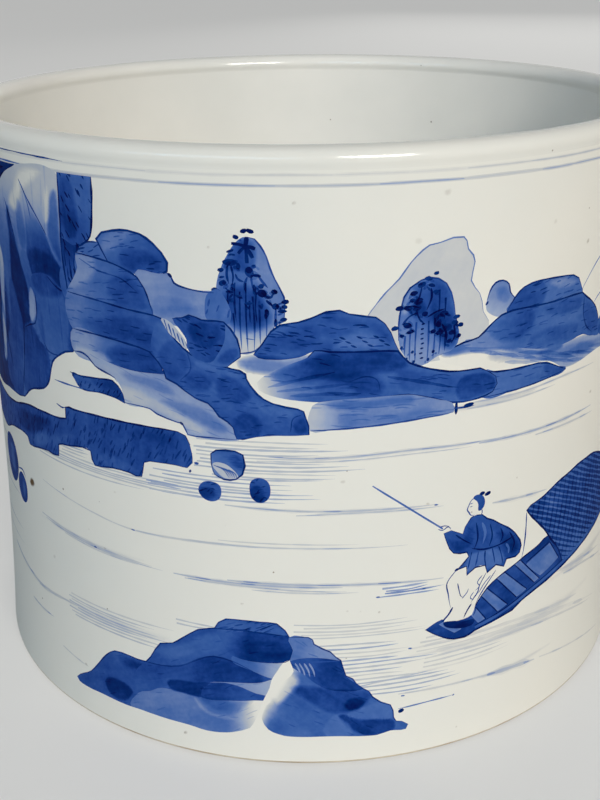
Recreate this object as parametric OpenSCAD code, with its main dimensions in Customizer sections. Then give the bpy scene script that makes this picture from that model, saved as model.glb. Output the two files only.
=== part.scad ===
// Squat porcelain brush pot: a slightly waisted barrel with a rounded lip, a luted floor,
// a bare foot ring and thin coats of glaze. Sizes are in millimetres. The origin is the
// centre of the foot on the table, with +Z up.

/* [Body] */
// Height from the table to the top of the lip
pot_h = 155.2; // [120:0.1:200]
// Outer diameter at the bottom edge
base_d = 189; // [170:1:220]
// How much narrower the pot is half way up than at its bottom edge
waist_in = 6; // [0:0.5:14]
// How much narrower the pot is just under the lip than at its bottom edge
mouth_in = 2; // [0:0.5:14]
// Thickness of the fired clay wall, without its glaze
wall_t = 5; // [3.5:0.1:9]

/* [Lip] */
// How far the lip swells out past the outer glaze
lip_out = 0.2; // [0.2:0.1:3]
// How far the lip swells in past the inner glaze
lip_in = 0.2; // [0.2:0.1:3]
// Height of the lip's crown above its widest line
lip_crown = 3; // [1.5:0.1:5]
// Height over which the lip swells out of the wall
lip_swell = 1.8; // [0.8:0.1:6]

/* [Base] */
// Thickness of the floor slab
floor_t = 8; // [4:0.5:14]
// How far the floor slab laps into the wall
floor_lap = 2; // [1:0.1:3]
// Height of the foot ring, which is the depth of the recess under the floor
foot_h = 3; // [1.8:0.1:6]
// Diameter of the recess under the floor
recess_d = 118; // [60:1:140]
// Height of the rounded bare edge where the glaze stops above the table
bare_edge = 0.9; // [0.5:0.1:1.5]

/* [Glaze] */
// Thickness of every coat of glaze
glaze_t = 0.4; // [0.3:0.05:0.8]

/* [Border lines] */
// Width of each painted ring
line_w = 0.5; // [0.3:0.1:0.8]
// Depth of each painted ring in the outer glaze
line_t = 0.15; // [0.1:0.05:0.25]
// Drop from the lip's lower edge to the middle of the upper ring
line_drop = 1; // [1:0.1:3]
// Spacing of the two rings, middle to middle
line_gap = 2.2; // [1.2:0.1:4]

/* [Hidden] */
// Steps along the wall's curve and along each quarter of the lip's curve
wall_steps = 12;
lip_steps = 6;
$fn = 96;

// Heights
lip_mid_z = pot_h - lip_crown;
lip_low_z = lip_mid_z - lip_swell;
floor_z = foot_h + floor_t;
lining_z = floor_z + glaze_t;
line_zs = [lip_low_z - line_drop - line_gap, lip_low_z - line_drop];

// Radii
base_r = base_d / 2;
waist_r = base_r - waist_in / 2;
mouth_r = base_r - mouth_in / 2;
lining_r = mouth_r - wall_t - 2 * glaze_t;
lip_outer_r = mouth_r + lip_out;
lip_inner_r = lining_r - lip_in;
lip_mid_r = (lip_outer_r + lip_inner_r) / 2;
lip_half = (lip_outer_r - lip_inner_r) / 2;
slab_r = inside_r(floor_z) + glaze_t + floor_lap;

// Outer radius at height z: one smooth curve through the base, the waist and the mouth
function outside_r(z) = let (t = z / lip_low_z)
    base_r * (1 - t) * (1 - 2 * t) + waist_r * 4 * t * (1 - t) + mouth_r * t * (2 * t - 1);
// Inner radius at height z, where the lining shows
function inside_r(z) = outside_r(z) - wall_t - 2 * glaze_t;
// Points up the outside from z0 to z1, set in by a depth
function outside_points(z0, z1, depth) =
    [for (i = [0 : wall_steps]) let (z = z0 + (z1 - z0) * i / wall_steps) [outside_r(z) - depth, z]];
// Points down the inside from z1 to z0, set into the wall by a depth
function inside_points(z1, z0, depth) =
    [for (i = [0 : wall_steps]) let (z = z1 + (z0 - z1) * i / wall_steps) [inside_r(z) + depth, z]];
// Points along a smooth swelling from one radius and height to another
function swell_points(from, to) =
    [for (i = [0 : lip_steps]) let (t = i / lip_steps, s = (1 - cos(180 * t)) / 2)
        [from[0] + (to[0] - from[0]) * s, from[1] + (to[1] - from[1]) * t]];
// Points along an arc of an ellipse
function arc_points(centre, rx, rz, from, to, steps) =
    [for (i = [0 : steps]) let (a = from + (to - from) * i / steps) centre + [rx * cos(a), rz * sin(a)]];
// The lip's section from its outer edge over the crown to its inner edge, set in by a depth
function lip_points(depth) = concat(
    swell_points([mouth_r - depth, lip_low_z], [lip_outer_r - depth, lip_mid_z]),
    arc_points([lip_mid_r, lip_mid_z], lip_half - depth, lip_crown - depth, 0, 180, 4 * lip_steps),
    swell_points([lip_inner_r + depth, lip_mid_z], [lining_r + depth, lip_low_z]));
// The four corners of a painted ring, from its lower outer corner round its back
function line_points(z) = let (z0 = z - line_w / 2, z1 = z + line_w / 2)
    [[outside_r(z0), z0], [outside_r(z0) - line_t, z0], [outside_r(z1) - line_t, z1], [outside_r(z1), z1]];

// Turns a closed section about the pot's axis
module lathe(points) {
    rotate_extrude() polygon(points);
}

// Thrown barrel with the core of the lip, rebated at its foot for the floor slab
module wall() {
    color("ghostwhite") lathe(concat(
        outside_points(foot_h, lip_low_z, glaze_t),
        lip_points(glaze_t),
        inside_points(lip_low_z, floor_z, glaze_t),
        [[slab_r, floor_z], [slab_r, foot_h]]));
}

// Disc that closes the barrel
module floor_slab() {
    color("white") translate([0, 0, foot_h]) cylinder(h = floor_t, r = slab_r);
}

// Bare turned ring under the wall and the floor slab, rounded at its outer edge
module foot_ring() {
    edge_r = outside_r(bare_edge);
    color("blanchedalmond") lathe(concat(
        [[recess_d / 2, foot_h], [recess_d / 2, 0]],
        arc_points([edge_r - bare_edge, bare_edge], bare_edge, bare_edge, -90, 0, lip_steps),
        [[edge_r - glaze_t, bare_edge], [outside_r(foot_h) - glaze_t, foot_h]]));
}

// White dressing over the lip
module rim_glaze() {
    inner = lip_points(glaze_t);
    color("ivory") lathe(concat(
        lip_points(0),
        [for (i = [len(inner) - 1 : -1 : 0]) inner[i]]));
}

// Clear coat from the bare edge up to the lip, grooved for the painted rings
module outer_glaze() {
    back = outside_points(foot_h, lip_low_z, glaze_t);
    color("aliceblue") lathe(concat(
        outside_points(bare_edge, line_zs[0] - line_w, 0),
        line_points(line_zs[0]),
        line_points(line_zs[1]),
        [[mouth_r, lip_low_z]],
        [for (i = [wall_steps : -1 : 0]) back[i]],
        [[outside_r(bare_edge) - glaze_t, bare_edge]]));
}

// Coat that lines the wall and the floor
module inner_glaze() {
    back = inside_points(lip_low_z, floor_z, glaze_t);
    color("whitesmoke") lathe(concat(
        [for (i = [wall_steps : -1 : 0]) back[i]],
        inside_points(lip_low_z, lining_z, 0),
        [[0, lining_z], [0, floor_z]]));
}

// Coat in the recess under the floor slab
module base_glaze() {
    color("azure") translate([0, 0, foot_h - glaze_t]) cylinder(h = glaze_t, d = recess_d);
}

// Two painted cobalt rings below the lip
module border_lines() {
    color("royalblue") for (z = line_zs) lathe(line_points(z));
}

wall();
floor_slab();
foot_ring();
rim_glaze();
outer_glaze();
inner_glaze();
base_glaze();
border_lines();
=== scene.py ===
import math
import random
import bmesh
import bpy
import numpy as np
from mathutils import Matrix, Vector
from mathutils.geometry import delaunay_2d_cdt


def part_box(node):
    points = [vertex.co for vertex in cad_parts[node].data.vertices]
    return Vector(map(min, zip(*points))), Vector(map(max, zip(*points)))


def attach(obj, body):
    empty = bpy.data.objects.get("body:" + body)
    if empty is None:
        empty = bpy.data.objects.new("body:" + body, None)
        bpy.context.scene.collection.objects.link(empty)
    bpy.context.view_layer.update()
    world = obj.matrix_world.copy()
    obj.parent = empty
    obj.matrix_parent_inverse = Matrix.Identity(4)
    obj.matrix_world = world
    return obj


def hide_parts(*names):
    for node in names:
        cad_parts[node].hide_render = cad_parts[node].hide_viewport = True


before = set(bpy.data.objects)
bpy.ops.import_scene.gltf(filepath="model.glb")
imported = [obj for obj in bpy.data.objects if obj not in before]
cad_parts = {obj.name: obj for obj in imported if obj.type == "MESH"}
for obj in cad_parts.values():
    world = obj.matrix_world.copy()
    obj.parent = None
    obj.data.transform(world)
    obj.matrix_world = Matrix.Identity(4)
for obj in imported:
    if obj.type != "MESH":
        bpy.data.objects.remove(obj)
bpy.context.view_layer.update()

mm = 0.001  # the script works in millimetres and makes its meshes in metres


# Node maths: a Wire is one node output, and arithmetic on it adds Math nodes
class Wire:
    def __init__(self, bench, socket):
        self.bench = bench
        self.socket = socket

    def __add__(self, other):
        return self.bench.math("ADD", self, other)

    def __radd__(self, other):
        return self.bench.math("ADD", other, self)

    def __sub__(self, other):
        return self.bench.math("SUBTRACT", self, other)

    def __rsub__(self, other):
        return self.bench.math("SUBTRACT", other, self)

    def __mul__(self, other):
        return self.bench.math("MULTIPLY", self, other)

    def __rmul__(self, other):
        return self.bench.math("MULTIPLY", other, self)

    def sister(self, out):  # another output of the same node
        return Wire(self.bench, self.socket.node.outputs[out])


class Bench:  # one node tree: a material's, the world's or a node group
    def __init__(self, tree):
        self.tree = tree

    def feed(self, socket, value):
        if isinstance(value, Wire):
            self.tree.links.new(value.socket, socket)
        else:
            socket.default_value = value

    def add(self, kind, settings, sockets, out=0):
        node = self.tree.nodes.new(kind)
        for key, value in settings.items():
            if key == "stops":
                fillRamp(node.color_ramp, value)
            else:
                setattr(node, key, value)
        for key, value in sockets.items():
            self.feed(node.inputs[key], value)
        return Wire(self, node.outputs[out])

    def math(self, operation, first, second=0.0):
        return self.add("ShaderNodeMath", {"operation": operation}, {0: first, 1: second})

    def mix(self, amount, first, second):
        return self.add("ShaderNodeMix", {"data_type": "RGBA"}, {0: amount, 6: first, 7: second}, out=2)

    def noise(self, where, scale, detail=3):
        return self.add("ShaderNodeTexNoise", {}, {"Vector": where, "Scale": scale, "Detail": detail})

    def between(self, value, low, high, lowOut=0.0, highOut=1.0):
        sockets = {"Value": value, 1: low, 2: high, 3: lowOut, 4: highOut}
        return self.add("ShaderNodeMapRange", {"interpolation_type": "SMOOTHSTEP"}, sockets)

    def place(self):
        return self.add("ShaderNodeTexCoord", {}, {}, out="Object")

    def held(self, name, out="Fac"):  # a value that the mesh holds
        return self.add("ShaderNodeAttribute", {"attribute_name": name}, {}, out=out)

    def bump(self, height, strength, distance):
        sockets = {"Strength": strength, "Distance": distance, "Height": height}
        return self.add("ShaderNodeBump", {}, sockets, out="Normal")

    def specks(self, where, scale, size, share):  # round spots in a share of the cells of a Voronoi pattern
        distance = self.add("ShaderNodeTexVoronoi", {}, {"Vector": where, "Scale": scale}, out="Distance")
        cell = self.add("ShaderNodeSeparateColor", {}, {0: distance.sister("Color")})
        near = self.between(distance, size * 0.6, size, 1.0, 0.0)
        return near * self.math("LESS_THAN", cell, share)

    def seen(self):  # 1 for rays from the camera and from shiny or clear surfaces
        camera = self.add("ShaderNodeLightPath", {}, {}, out="Is Camera Ray")
        shiny = self.math("MAXIMUM", camera, camera.sister("Is Glossy Ray"))
        return self.math("MAXIMUM", shiny, camera.sister("Is Transmission Ray"))

    def show(self, output, share, first, second):  # two shaders mixed into the tree's output node
        mixed = self.add("ShaderNodeMixShader", {}, {0: share, 1: first, 2: second})
        self.feed(self.tree.nodes[output].inputs["Surface"], mixed)

    def finish(self, sockets):
        shader = self.tree.nodes["Principled BSDF"]
        for key, value in sockets.items():
            self.feed(shader.inputs[key], value)


def newMaterial(name):
    material = bpy.data.materials.new(name)
    material.use_nodes = True
    return material, Bench(material.node_tree)


def fillRamp(ramp, stops):
    while len(ramp.elements) < len(stops):
        ramp.elements.new(0.5)
    for element, (place, colour) in zip(ramp.elements, stops):
        element.position = place
        element.color = colour


def tint(red, green, blue):  # a colour written in 0 to 255 screen values
    def linear(value):
        value = value / 255
        return value / 12.92 if value <= 0.04045 else ((value + 0.055) / 1.055) ** 2.4
    return (linear(red), linear(green), linear(blue), 1.0)


# Glaze and clay. Scales are those of noise patterns, in waves per metre.
glazeLook = {
    "white": tint(236, 234, 225),
    "greyer": tint(226, 227, 221),    # where the glaze lies thick
    # painted light: the same clear glaze as outside, made whiter as a lit copy that stands in for the
    # brighter light inside the pot
    "inside": tint(249, 247, 240),
    "iron": tint(104, 80, 56),        # brown specks from the clay
    "thickScale": 14,
    "thickRange": (0.35, 0.7),
    "thickShare": 0.5,
    "speckSizes": [(95, 0.035), (230, 0.06)],  # scale, size
    "speckShare": {"plain": 0.12, "rim": 0.3, "painted": 0.06},
    "speckStrength": 0.7,
    "speckDepth": 0.4,
    "waves": [(26, 0.6), (190, 0.12)],  # scale, height
    "bumpStrength": 0.1,
    "bumpDistance": 0.0012,
    "roughness": 0.1,
    "roughnessScale": 60,
    "roughnessSpread": 0.06,
    "shine": {"plain": 0.3, "rim": 0.4, "painted": 0.0},
    "coat": {"plain": 0.2, "rim": 0.2, "painted": 0.07},
    "coatRoughness": 0.05,
    # the lip's inner half keeps that painted lighter white, blended out to the outer white
    "rimBlend": (0.0885, 0.0915),  # the lip turns from the inner to the outer white between these radii
}
cobaltLook = {
    "depth": 1.4,  # density at the end of the stops
    "faint": 0.05,  # density up to which the glaze's own white shows
    "loading": {"least": 0.4, "streaks": 0.34, "pools": 0.54, "grains": 0.2},
    "poolScale": 120,
    "grainScale": 900,
    "spotDepth": 0.5,
    "stops": [
        (0.0, glazeLook["white"]),
        (0.043, tint(209, 210, 208)),
        (0.086, tint(185, 191, 201)),
        (0.143, tint(152, 168, 200)),
        (0.243, tint(106, 132, 186)),
        (0.321, tint(74, 109, 176)),
        (0.393, tint(56, 95, 166)),
        (0.464, tint(42, 81, 156)),
        (0.536, tint(28, 67, 143)),
        (0.607, tint(13, 53, 126)),
        (0.679, tint(0, 41, 109)),
        (0.786, tint(0, 23, 88)),
        (0.929, tint(0, 5, 62)),
    ],
}
biscuitLook = {
    "pale": tint(206, 194, 172),
    "brown": tint(158, 130, 96),
    "stainScale": 70,
    "stainRange": (0.4, 0.75),
    "stainShare": 0.6,
    "specks": (260, 0.12, 0.25),  # scale, size, share
    "speckStrength": 0.6,
    "grainScale": 1500,
    "roughness": 0.6,
    "roughnessSpread": 0.2,
    "bumpStrength": 0.3,
    "bumpDistance": 0.0004,
}


def glazeColour(bench, where, kind, white):
    thick = bench.between(bench.noise(where, glazeLook["thickScale"], 4), *glazeLook["thickRange"])
    colour = bench.mix(thick * glazeLook["thickShare"], white, glazeLook["greyer"])
    share = glazeLook["speckShare"][kind]
    few, many = (bench.specks(where, scale, size, share) for scale, size in glazeLook["speckSizes"])
    spots = few + many
    return bench.mix(spots * glazeLook["speckStrength"], colour, glazeLook["iron"]), spots


def finishGlaze(bench, where, kind, colour, pits):
    broad, fine = (bench.noise(where, scale, 2) * height for scale, height in glazeLook["waves"])
    rough = bench.noise(where, glazeLook["roughnessScale"]) * glazeLook["roughnessSpread"]
    bench.finish({
        "Base Color": colour,
        "Roughness": rough + glazeLook["roughness"],
        "Normal": bench.bump(broad + fine - pits, glazeLook["bumpStrength"], glazeLook["bumpDistance"]),
        "Specular IOR Level": glazeLook["shine"][kind],
        "Coat Weight": glazeLook["coat"][kind],
        "Coat Roughness": glazeLook["coatRoughness"],
    })


def plainGlaze(name, kind):
    material, bench = newMaterial(name)
    where = bench.place()
    # painted light: the plain glazes start from the whiter lit copy of the glaze, standing in for the
    # brighter light inside the pot
    white = glazeLook["inside"]
    if kind == "rim":
        flat = bench.add("ShaderNodeVectorMath", {"operation": "MULTIPLY"}, {0: where, 1: (1.0, 1.0, 0.0)})
        reach = bench.add("ShaderNodeVectorMath", {"operation": "LENGTH"}, {0: flat}, out="Value")
        white = bench.mix(bench.between(reach, *glazeLook["rimBlend"]), white, glazeLook["white"])
    colour, spots = glazeColour(bench, where, kind, white)
    finishGlaze(bench, where, kind, colour, spots * glazeLook["speckDepth"])
    return material


def paintedGlaze(name):
    material, bench = newMaterial(name)
    where = bench.place()
    white, spots = glazeColour(bench, where, "painted", glazeLook["white"])
    iron = bench.held("iron")
    load = cobaltLook["loading"]
    streaks = bench.noise(bench.held("brush", "Vector"), 1) * load["streaks"]
    pools = bench.noise(where, cobaltLook["poolScale"]) * load["pools"]
    grains = bench.noise(where, cobaltLook["grainScale"], 2) * load["grains"]
    density = bench.held("cobalt") * (load["least"] + streaks + pools + grains)
    share = density * (1 / cobaltLook["depth"])
    blue = bench.add("ShaderNodeValToRGB", {"stops": cobaltLook["stops"]}, {"Fac": share})
    painted = bench.mix(bench.between(density, 0.0, cobaltLook["faint"]), white, blue)
    colour = bench.mix(iron, painted, glazeLook["iron"])
    pits = spots * glazeLook["speckDepth"] + iron * cobaltLook["spotDepth"]
    finishGlaze(bench, where, "painted", colour, pits)
    return material


def biscuit(name):
    material, bench = newMaterial(name)
    where = bench.place()
    stain = bench.between(bench.noise(where, biscuitLook["stainScale"], 5), *biscuitLook["stainRange"])
    colour = bench.mix(stain * biscuitLook["stainShare"], biscuitLook["pale"], biscuitLook["brown"])
    spots = bench.specks(where, *biscuitLook["specks"])
    grain = bench.noise(where, biscuitLook["grainScale"], 4)
    bench.finish({
        "Base Color": bench.mix(spots * biscuitLook["speckStrength"], colour, glazeLook["iron"]),
        "Roughness": grain * biscuitLook["roughnessSpread"] + biscuitLook["roughness"],
        "Normal": bench.bump(grain, biscuitLook["bumpStrength"], biscuitLook["bumpDistance"]),
    })
    return material


paintedMaterial = paintedGlaze("paintedGlaze")
glazeMaterial = plainGlaze("clearGlaze", "plain")
rimMaterial = plainGlaze("rimGlaze", "rim")
biscuitMaterial = biscuit("barePorcelain")
print("materials ready")


# Form of the pot, read from the frame in millimetres
def ringPoints(node):
    points = np.array([vertex.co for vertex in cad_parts[node].data.vertices]) / mm
    return points[:, 2], np.hypot(points[:, 0], points[:, 1])


def sideCurve(node, pick, lowest):
    heights, radii = ringPoints(node)
    stations = [z for z in np.unique(np.round(heights, 2)) if z >= lowest]
    reach = [pick(radii[abs(heights - z) < 0.02]) for z in stations]
    return np.poly1d(np.polyfit(stations, reach, 2))


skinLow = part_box("outer_glaze")[0].z / mm
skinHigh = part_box("outer_glaze")[1].z / mm
outerSide = sideCurve("outer_glaze", max, skinLow)
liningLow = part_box("floor_slab")[1].z / mm
innerSide = sideCurve("inner_glaze", min, liningLow + 1)
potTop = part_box("rim_glaze")[1].z / mm
print("pot form read: side", [round(outerSide(up), 1) for up in (skinLow, potTop / 2, skinHigh)])


# Brush work. Marks lie on the unrolled side: across is the way round at radius sheet["radius"], from the
# front towards the right, and up is the height. Each point is (across, up) or (across, up, roundness).
sheet = {
    "radius": 92.0,
    "lattice": 3.4,      # gap between the points of the bare sheet
    "finest": 0.5,       # steps along a mark's edge
    "coarsest": 1.5,
    "fillSteps": 40,
    "strokeSteps": 13,
    "stretch": 1.4,      # a stroke's longest step, against a fill's
    "startShare": 0.15,  # share of a stroke over which its start swells
    "endShare": 0.25,    # and over which its end thins
    "lensSides": 8,
    "washGap": 0.68,     # gap between the points in a wash, as a share of its soft edge
    "leastGap": 0.62,
    "seam": 0.05,        # marks stay this far from the sheet's ends
    "margin": 0.4,       # and from its upper and lower edges
    "merge": 0.004,      # points nearer than this are one
    "darkest": 1.35,
    "hairAlong": 0.08,   # streaks are long the way the brush goes and narrow across it
    "hairAcross": 0.45,
    "hairShift": 3.7,    # any step that gives each mark streaks of its own
}
halfTurn = math.pi * sheet["radius"]
marks = []
chance = random.Random(7)


def curveThrough(points, closed, step):
    places = [np.array(point[:2], float) for point in points]
    count = len(points)
    found = []
    for i in range(count if closed else count - 1):
        here, there = places[i], places[(i + 1) % count]
        before = places[i - 1] if closed or i > 0 else here
        after = places[(i + 2) % count] if closed or i + 2 < count else there
        span = there - here
        size = math.hypot(*span)
        turns = []
        for chord, point in ((there - before, points[i]), (after - here, points[(i + 1) % count])):
            roundness = point[2] if len(point) > 2 else 1.0
            smooth = chord / max(math.hypot(*chord), 1e-6) * size
            turns.append(span + (smooth - span) * roundness)
        for t in np.arange(0, 1, 1 / max(1, round(size / step))):
            found.append(here * (2 * t**3 - 3 * t**2 + 1) + turns[0] * (t**3 - 2 * t**2 + t)
                         + there * (3 * t**2 - 2 * t**3) + turns[1] * (t**3 - t**2))
    if not closed:
        found.append(places[-1])
    return np.array(found)


def windsRound(places, loop):  # which places lie inside a loop, overlaps counted as inside
    ahead = np.roll(loop, -1, axis=0)
    x, y = places[:, :1], places[:, 1:]
    side = (ahead[:, 0] - loop[:, 0]) * (y - loop[:, 1]) - (x - loop[:, 0]) * (ahead[:, 1] - loop[:, 1])
    rising = (loop[:, 1] <= y) & (ahead[:, 1] > y) & (side > 0)
    falling = (loop[:, 1] > y) & (ahead[:, 1] <= y) & (side < 0)
    return rising.sum(1) != falling.sum(1)


def reachInto(places, loop, soft):  # 0 at a loop's edge and outside it, 1 further inside than soft
    way = np.roll(loop, -1, axis=0) - loop
    size = np.maximum((way**2).sum(1), 1e-9)
    along = np.clip(((places[:, None] - loop) * way).sum(2) / size, 0, 1)
    gap = np.linalg.norm(places[:, None] - loop - along[..., None] * way, axis=2).min(1)
    t = np.clip(gap / soft, 0, 1) * windsRound(places, loop)
    return t * t * (3 - 2 * t)


# how: lay covers what is under it, add darkens it, lift wipes it towards white, iron leaves a brown spot.
# soft: the width over which a wash fades in from its edge, 0 for a hard edge.
def addMark(loop, tone, fade=None, how="lay", within=None, grain=0.0, soft=0.0):
    marks.append(dict(loop=loop, tone=tone, fade=fade, how=how, within=within, grain=grain, soft=soft))
    return len(marks) - 1


def fill(points, tone, **more):
    around = sum(math.dist(a[:2], b[:2]) for a, b in zip(points, points[1:] + points[:1]))
    step = min(max(around / sheet["fillSteps"], sheet["finest"]), sheet["coarsest"])
    return addMark(curveThrough(points, True, step), tone, **more)


def wash(parent, tone, soft, points, how="add", **more):  # a soft pool of blue inside another mark
    return fill(points, tone, how=how, within=parent, soft=soft, **more)


def lift(parent, tone, soft, points):  # a soft wipe towards white
    wash(parent, tone, soft, points, how="lift")


def stroke(points, width, tone, ends=(0.35, 0.2), waver=0.22, **more):
    long = sum(math.dist(a[:2], b[:2]) for a, b in zip(points, points[1:]))
    step = min(max(long / sheet["strokeSteps"], sheet["finest"]), sheet["coarsest"] * sheet["stretch"])
    middle = curveThrough(points, False, step)
    along = np.gradient(middle, axis=0)
    across = np.stack([-along[:, 1], along[:, 0]], 1)
    across = across / np.maximum(np.hypot(across[:, 0], across[:, 1])[:, None], 1e-6)
    t = np.linspace(0, 1, len(middle))
    swell = ends[0] + (1 - ends[0]) * t / sheet["startShare"]
    swell = np.minimum(swell, ends[1] + (1 - ends[1]) * (1 - t) / sheet["endShare"])
    wobble = 1 + waver * np.sin(t * long * 0.9 + chance.uniform(0, 6))
    half = (np.clip(swell, 0.05, 1) * wobble * width / 2)[:, None]
    return addMark(np.concatenate([middle + across * half, (middle - across * half)[::-1]]), tone, **more)


def shade(parent, points, width, tone):  # a stroke that darkens another mark
    stroke(points, width, tone, how="add", within=parent)


def lens(centre, length, width, angle, tone, rough=0.12, **more):  # one press of a loaded brush
    turn = math.radians(angle)
    points = []
    for i in range(sheet["lensSides"]):
        way = math.tau * i / sheet["lensSides"]
        x = math.cos(way) * length / 2 * chance.uniform(1 - rough, 1 + rough)
        y = math.sin(way) * width / 2 * chance.uniform(1 - rough, 1 + rough)
        points.append((centre[0] + x * math.cos(turn) - y * math.sin(turn),
                       centre[1] + x * math.sin(turn) + y * math.cos(turn)))
    return fill(points, tone, grain=angle, **more)


def spotsInside(parent, count):
    loop = marks[parent]["loop"]
    low, high = loop.min(0), loop.max(0)
    found = []
    while len(found) < count:
        place = (chance.uniform(low[0], high[0]), chance.uniform(low[1], high[1]))
        if windsRound(np.array([place]), loop)[0]:
            found.append(place)
    return found


def patches(parent, count, length, width, angle, tone, spread=12):  # pools left by a loaded brush
    for place in spotsInside(parent, count):
        size = chance.uniform(0.7, 1.25)
        lens(place, length * size, width * size, angle + chance.uniform(-spread, spread),
            tone * chance.uniform(0.6, 1.4), how="add", within=parent, soft=width * size * 0.4)


def dashes(parent, count, length, width, angle, tone, spread=10):  # the short strokes of a hill's texture
    for x, y in spotsInside(parent, count):
        turn = math.radians(angle + chance.uniform(-spread, spread))
        half = length * chance.uniform(0.35, 0.65)
        tip = (x + half * math.cos(turn), y + half * math.sin(turn))
        tail = (x - half * math.cos(turn), y - half * math.sin(turn))
        bend = ((tip[0] + tail[0]) / 2, (tip[1] + tail[1]) / 2 + chance.uniform(-0.04, 0.06) * length)
        shade(parent, [tail, bend, tip], width, tone)


def water(start, end, up, tone):  # one long thin line of the river
    sway = chance.uniform(-0.25, 0.25)
    stroke([(start, up), ((start + end) / 2, up + sway), (end, up + chance.uniform(-0.4, 0.2))],
        chance.uniform(0.34, 0.5), tone, ends=(0.9, 0.1))


borderPaint = {"line": 0.34, "bleed": 0.85, "upper": 0.09, "lower": 0.16, "overlap": 0.3}


def borderLines():
    heights = ringPoints("border_lines")[0]
    overlap = borderPaint["overlap"]
    last = halfTurn + overlap
    for level, tone in (
            (heights[heights > heights.mean()].mean(), borderPaint["upper"]),
            (heights[heights < heights.mean()].mean(), borderPaint["lower"])):
        start = -last
        while start < last:
            end = min(start + chance.uniform(8, 30), last)
            bend = ((start + end) / 2, level + chance.uniform(-0.1, 0.1))
            points = [(max(start - overlap, -last), level), bend, (min(end + overlap, last), level)]
            stroke(points, borderPaint["bleed"], tone * 0.4, ends=(0.8, 0.8), waver=0.05)
            stroke(points, borderPaint["line"] * chance.uniform(0.7, 1.2), tone * chance.uniform(0.5, 1.3),
                ends=(0.6, 0.6), waver=0.1)
            start = end
    stroke([(-88, 149.9), (-72, 150), (-62, 149.8), (-56, 149.6)], 0.5, 0.85, ends=(1, 0.1))
    stroke([(-86, 147.3), (-78, 147.3), (-70, 147.2)], 0.35, 0.5)


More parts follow.
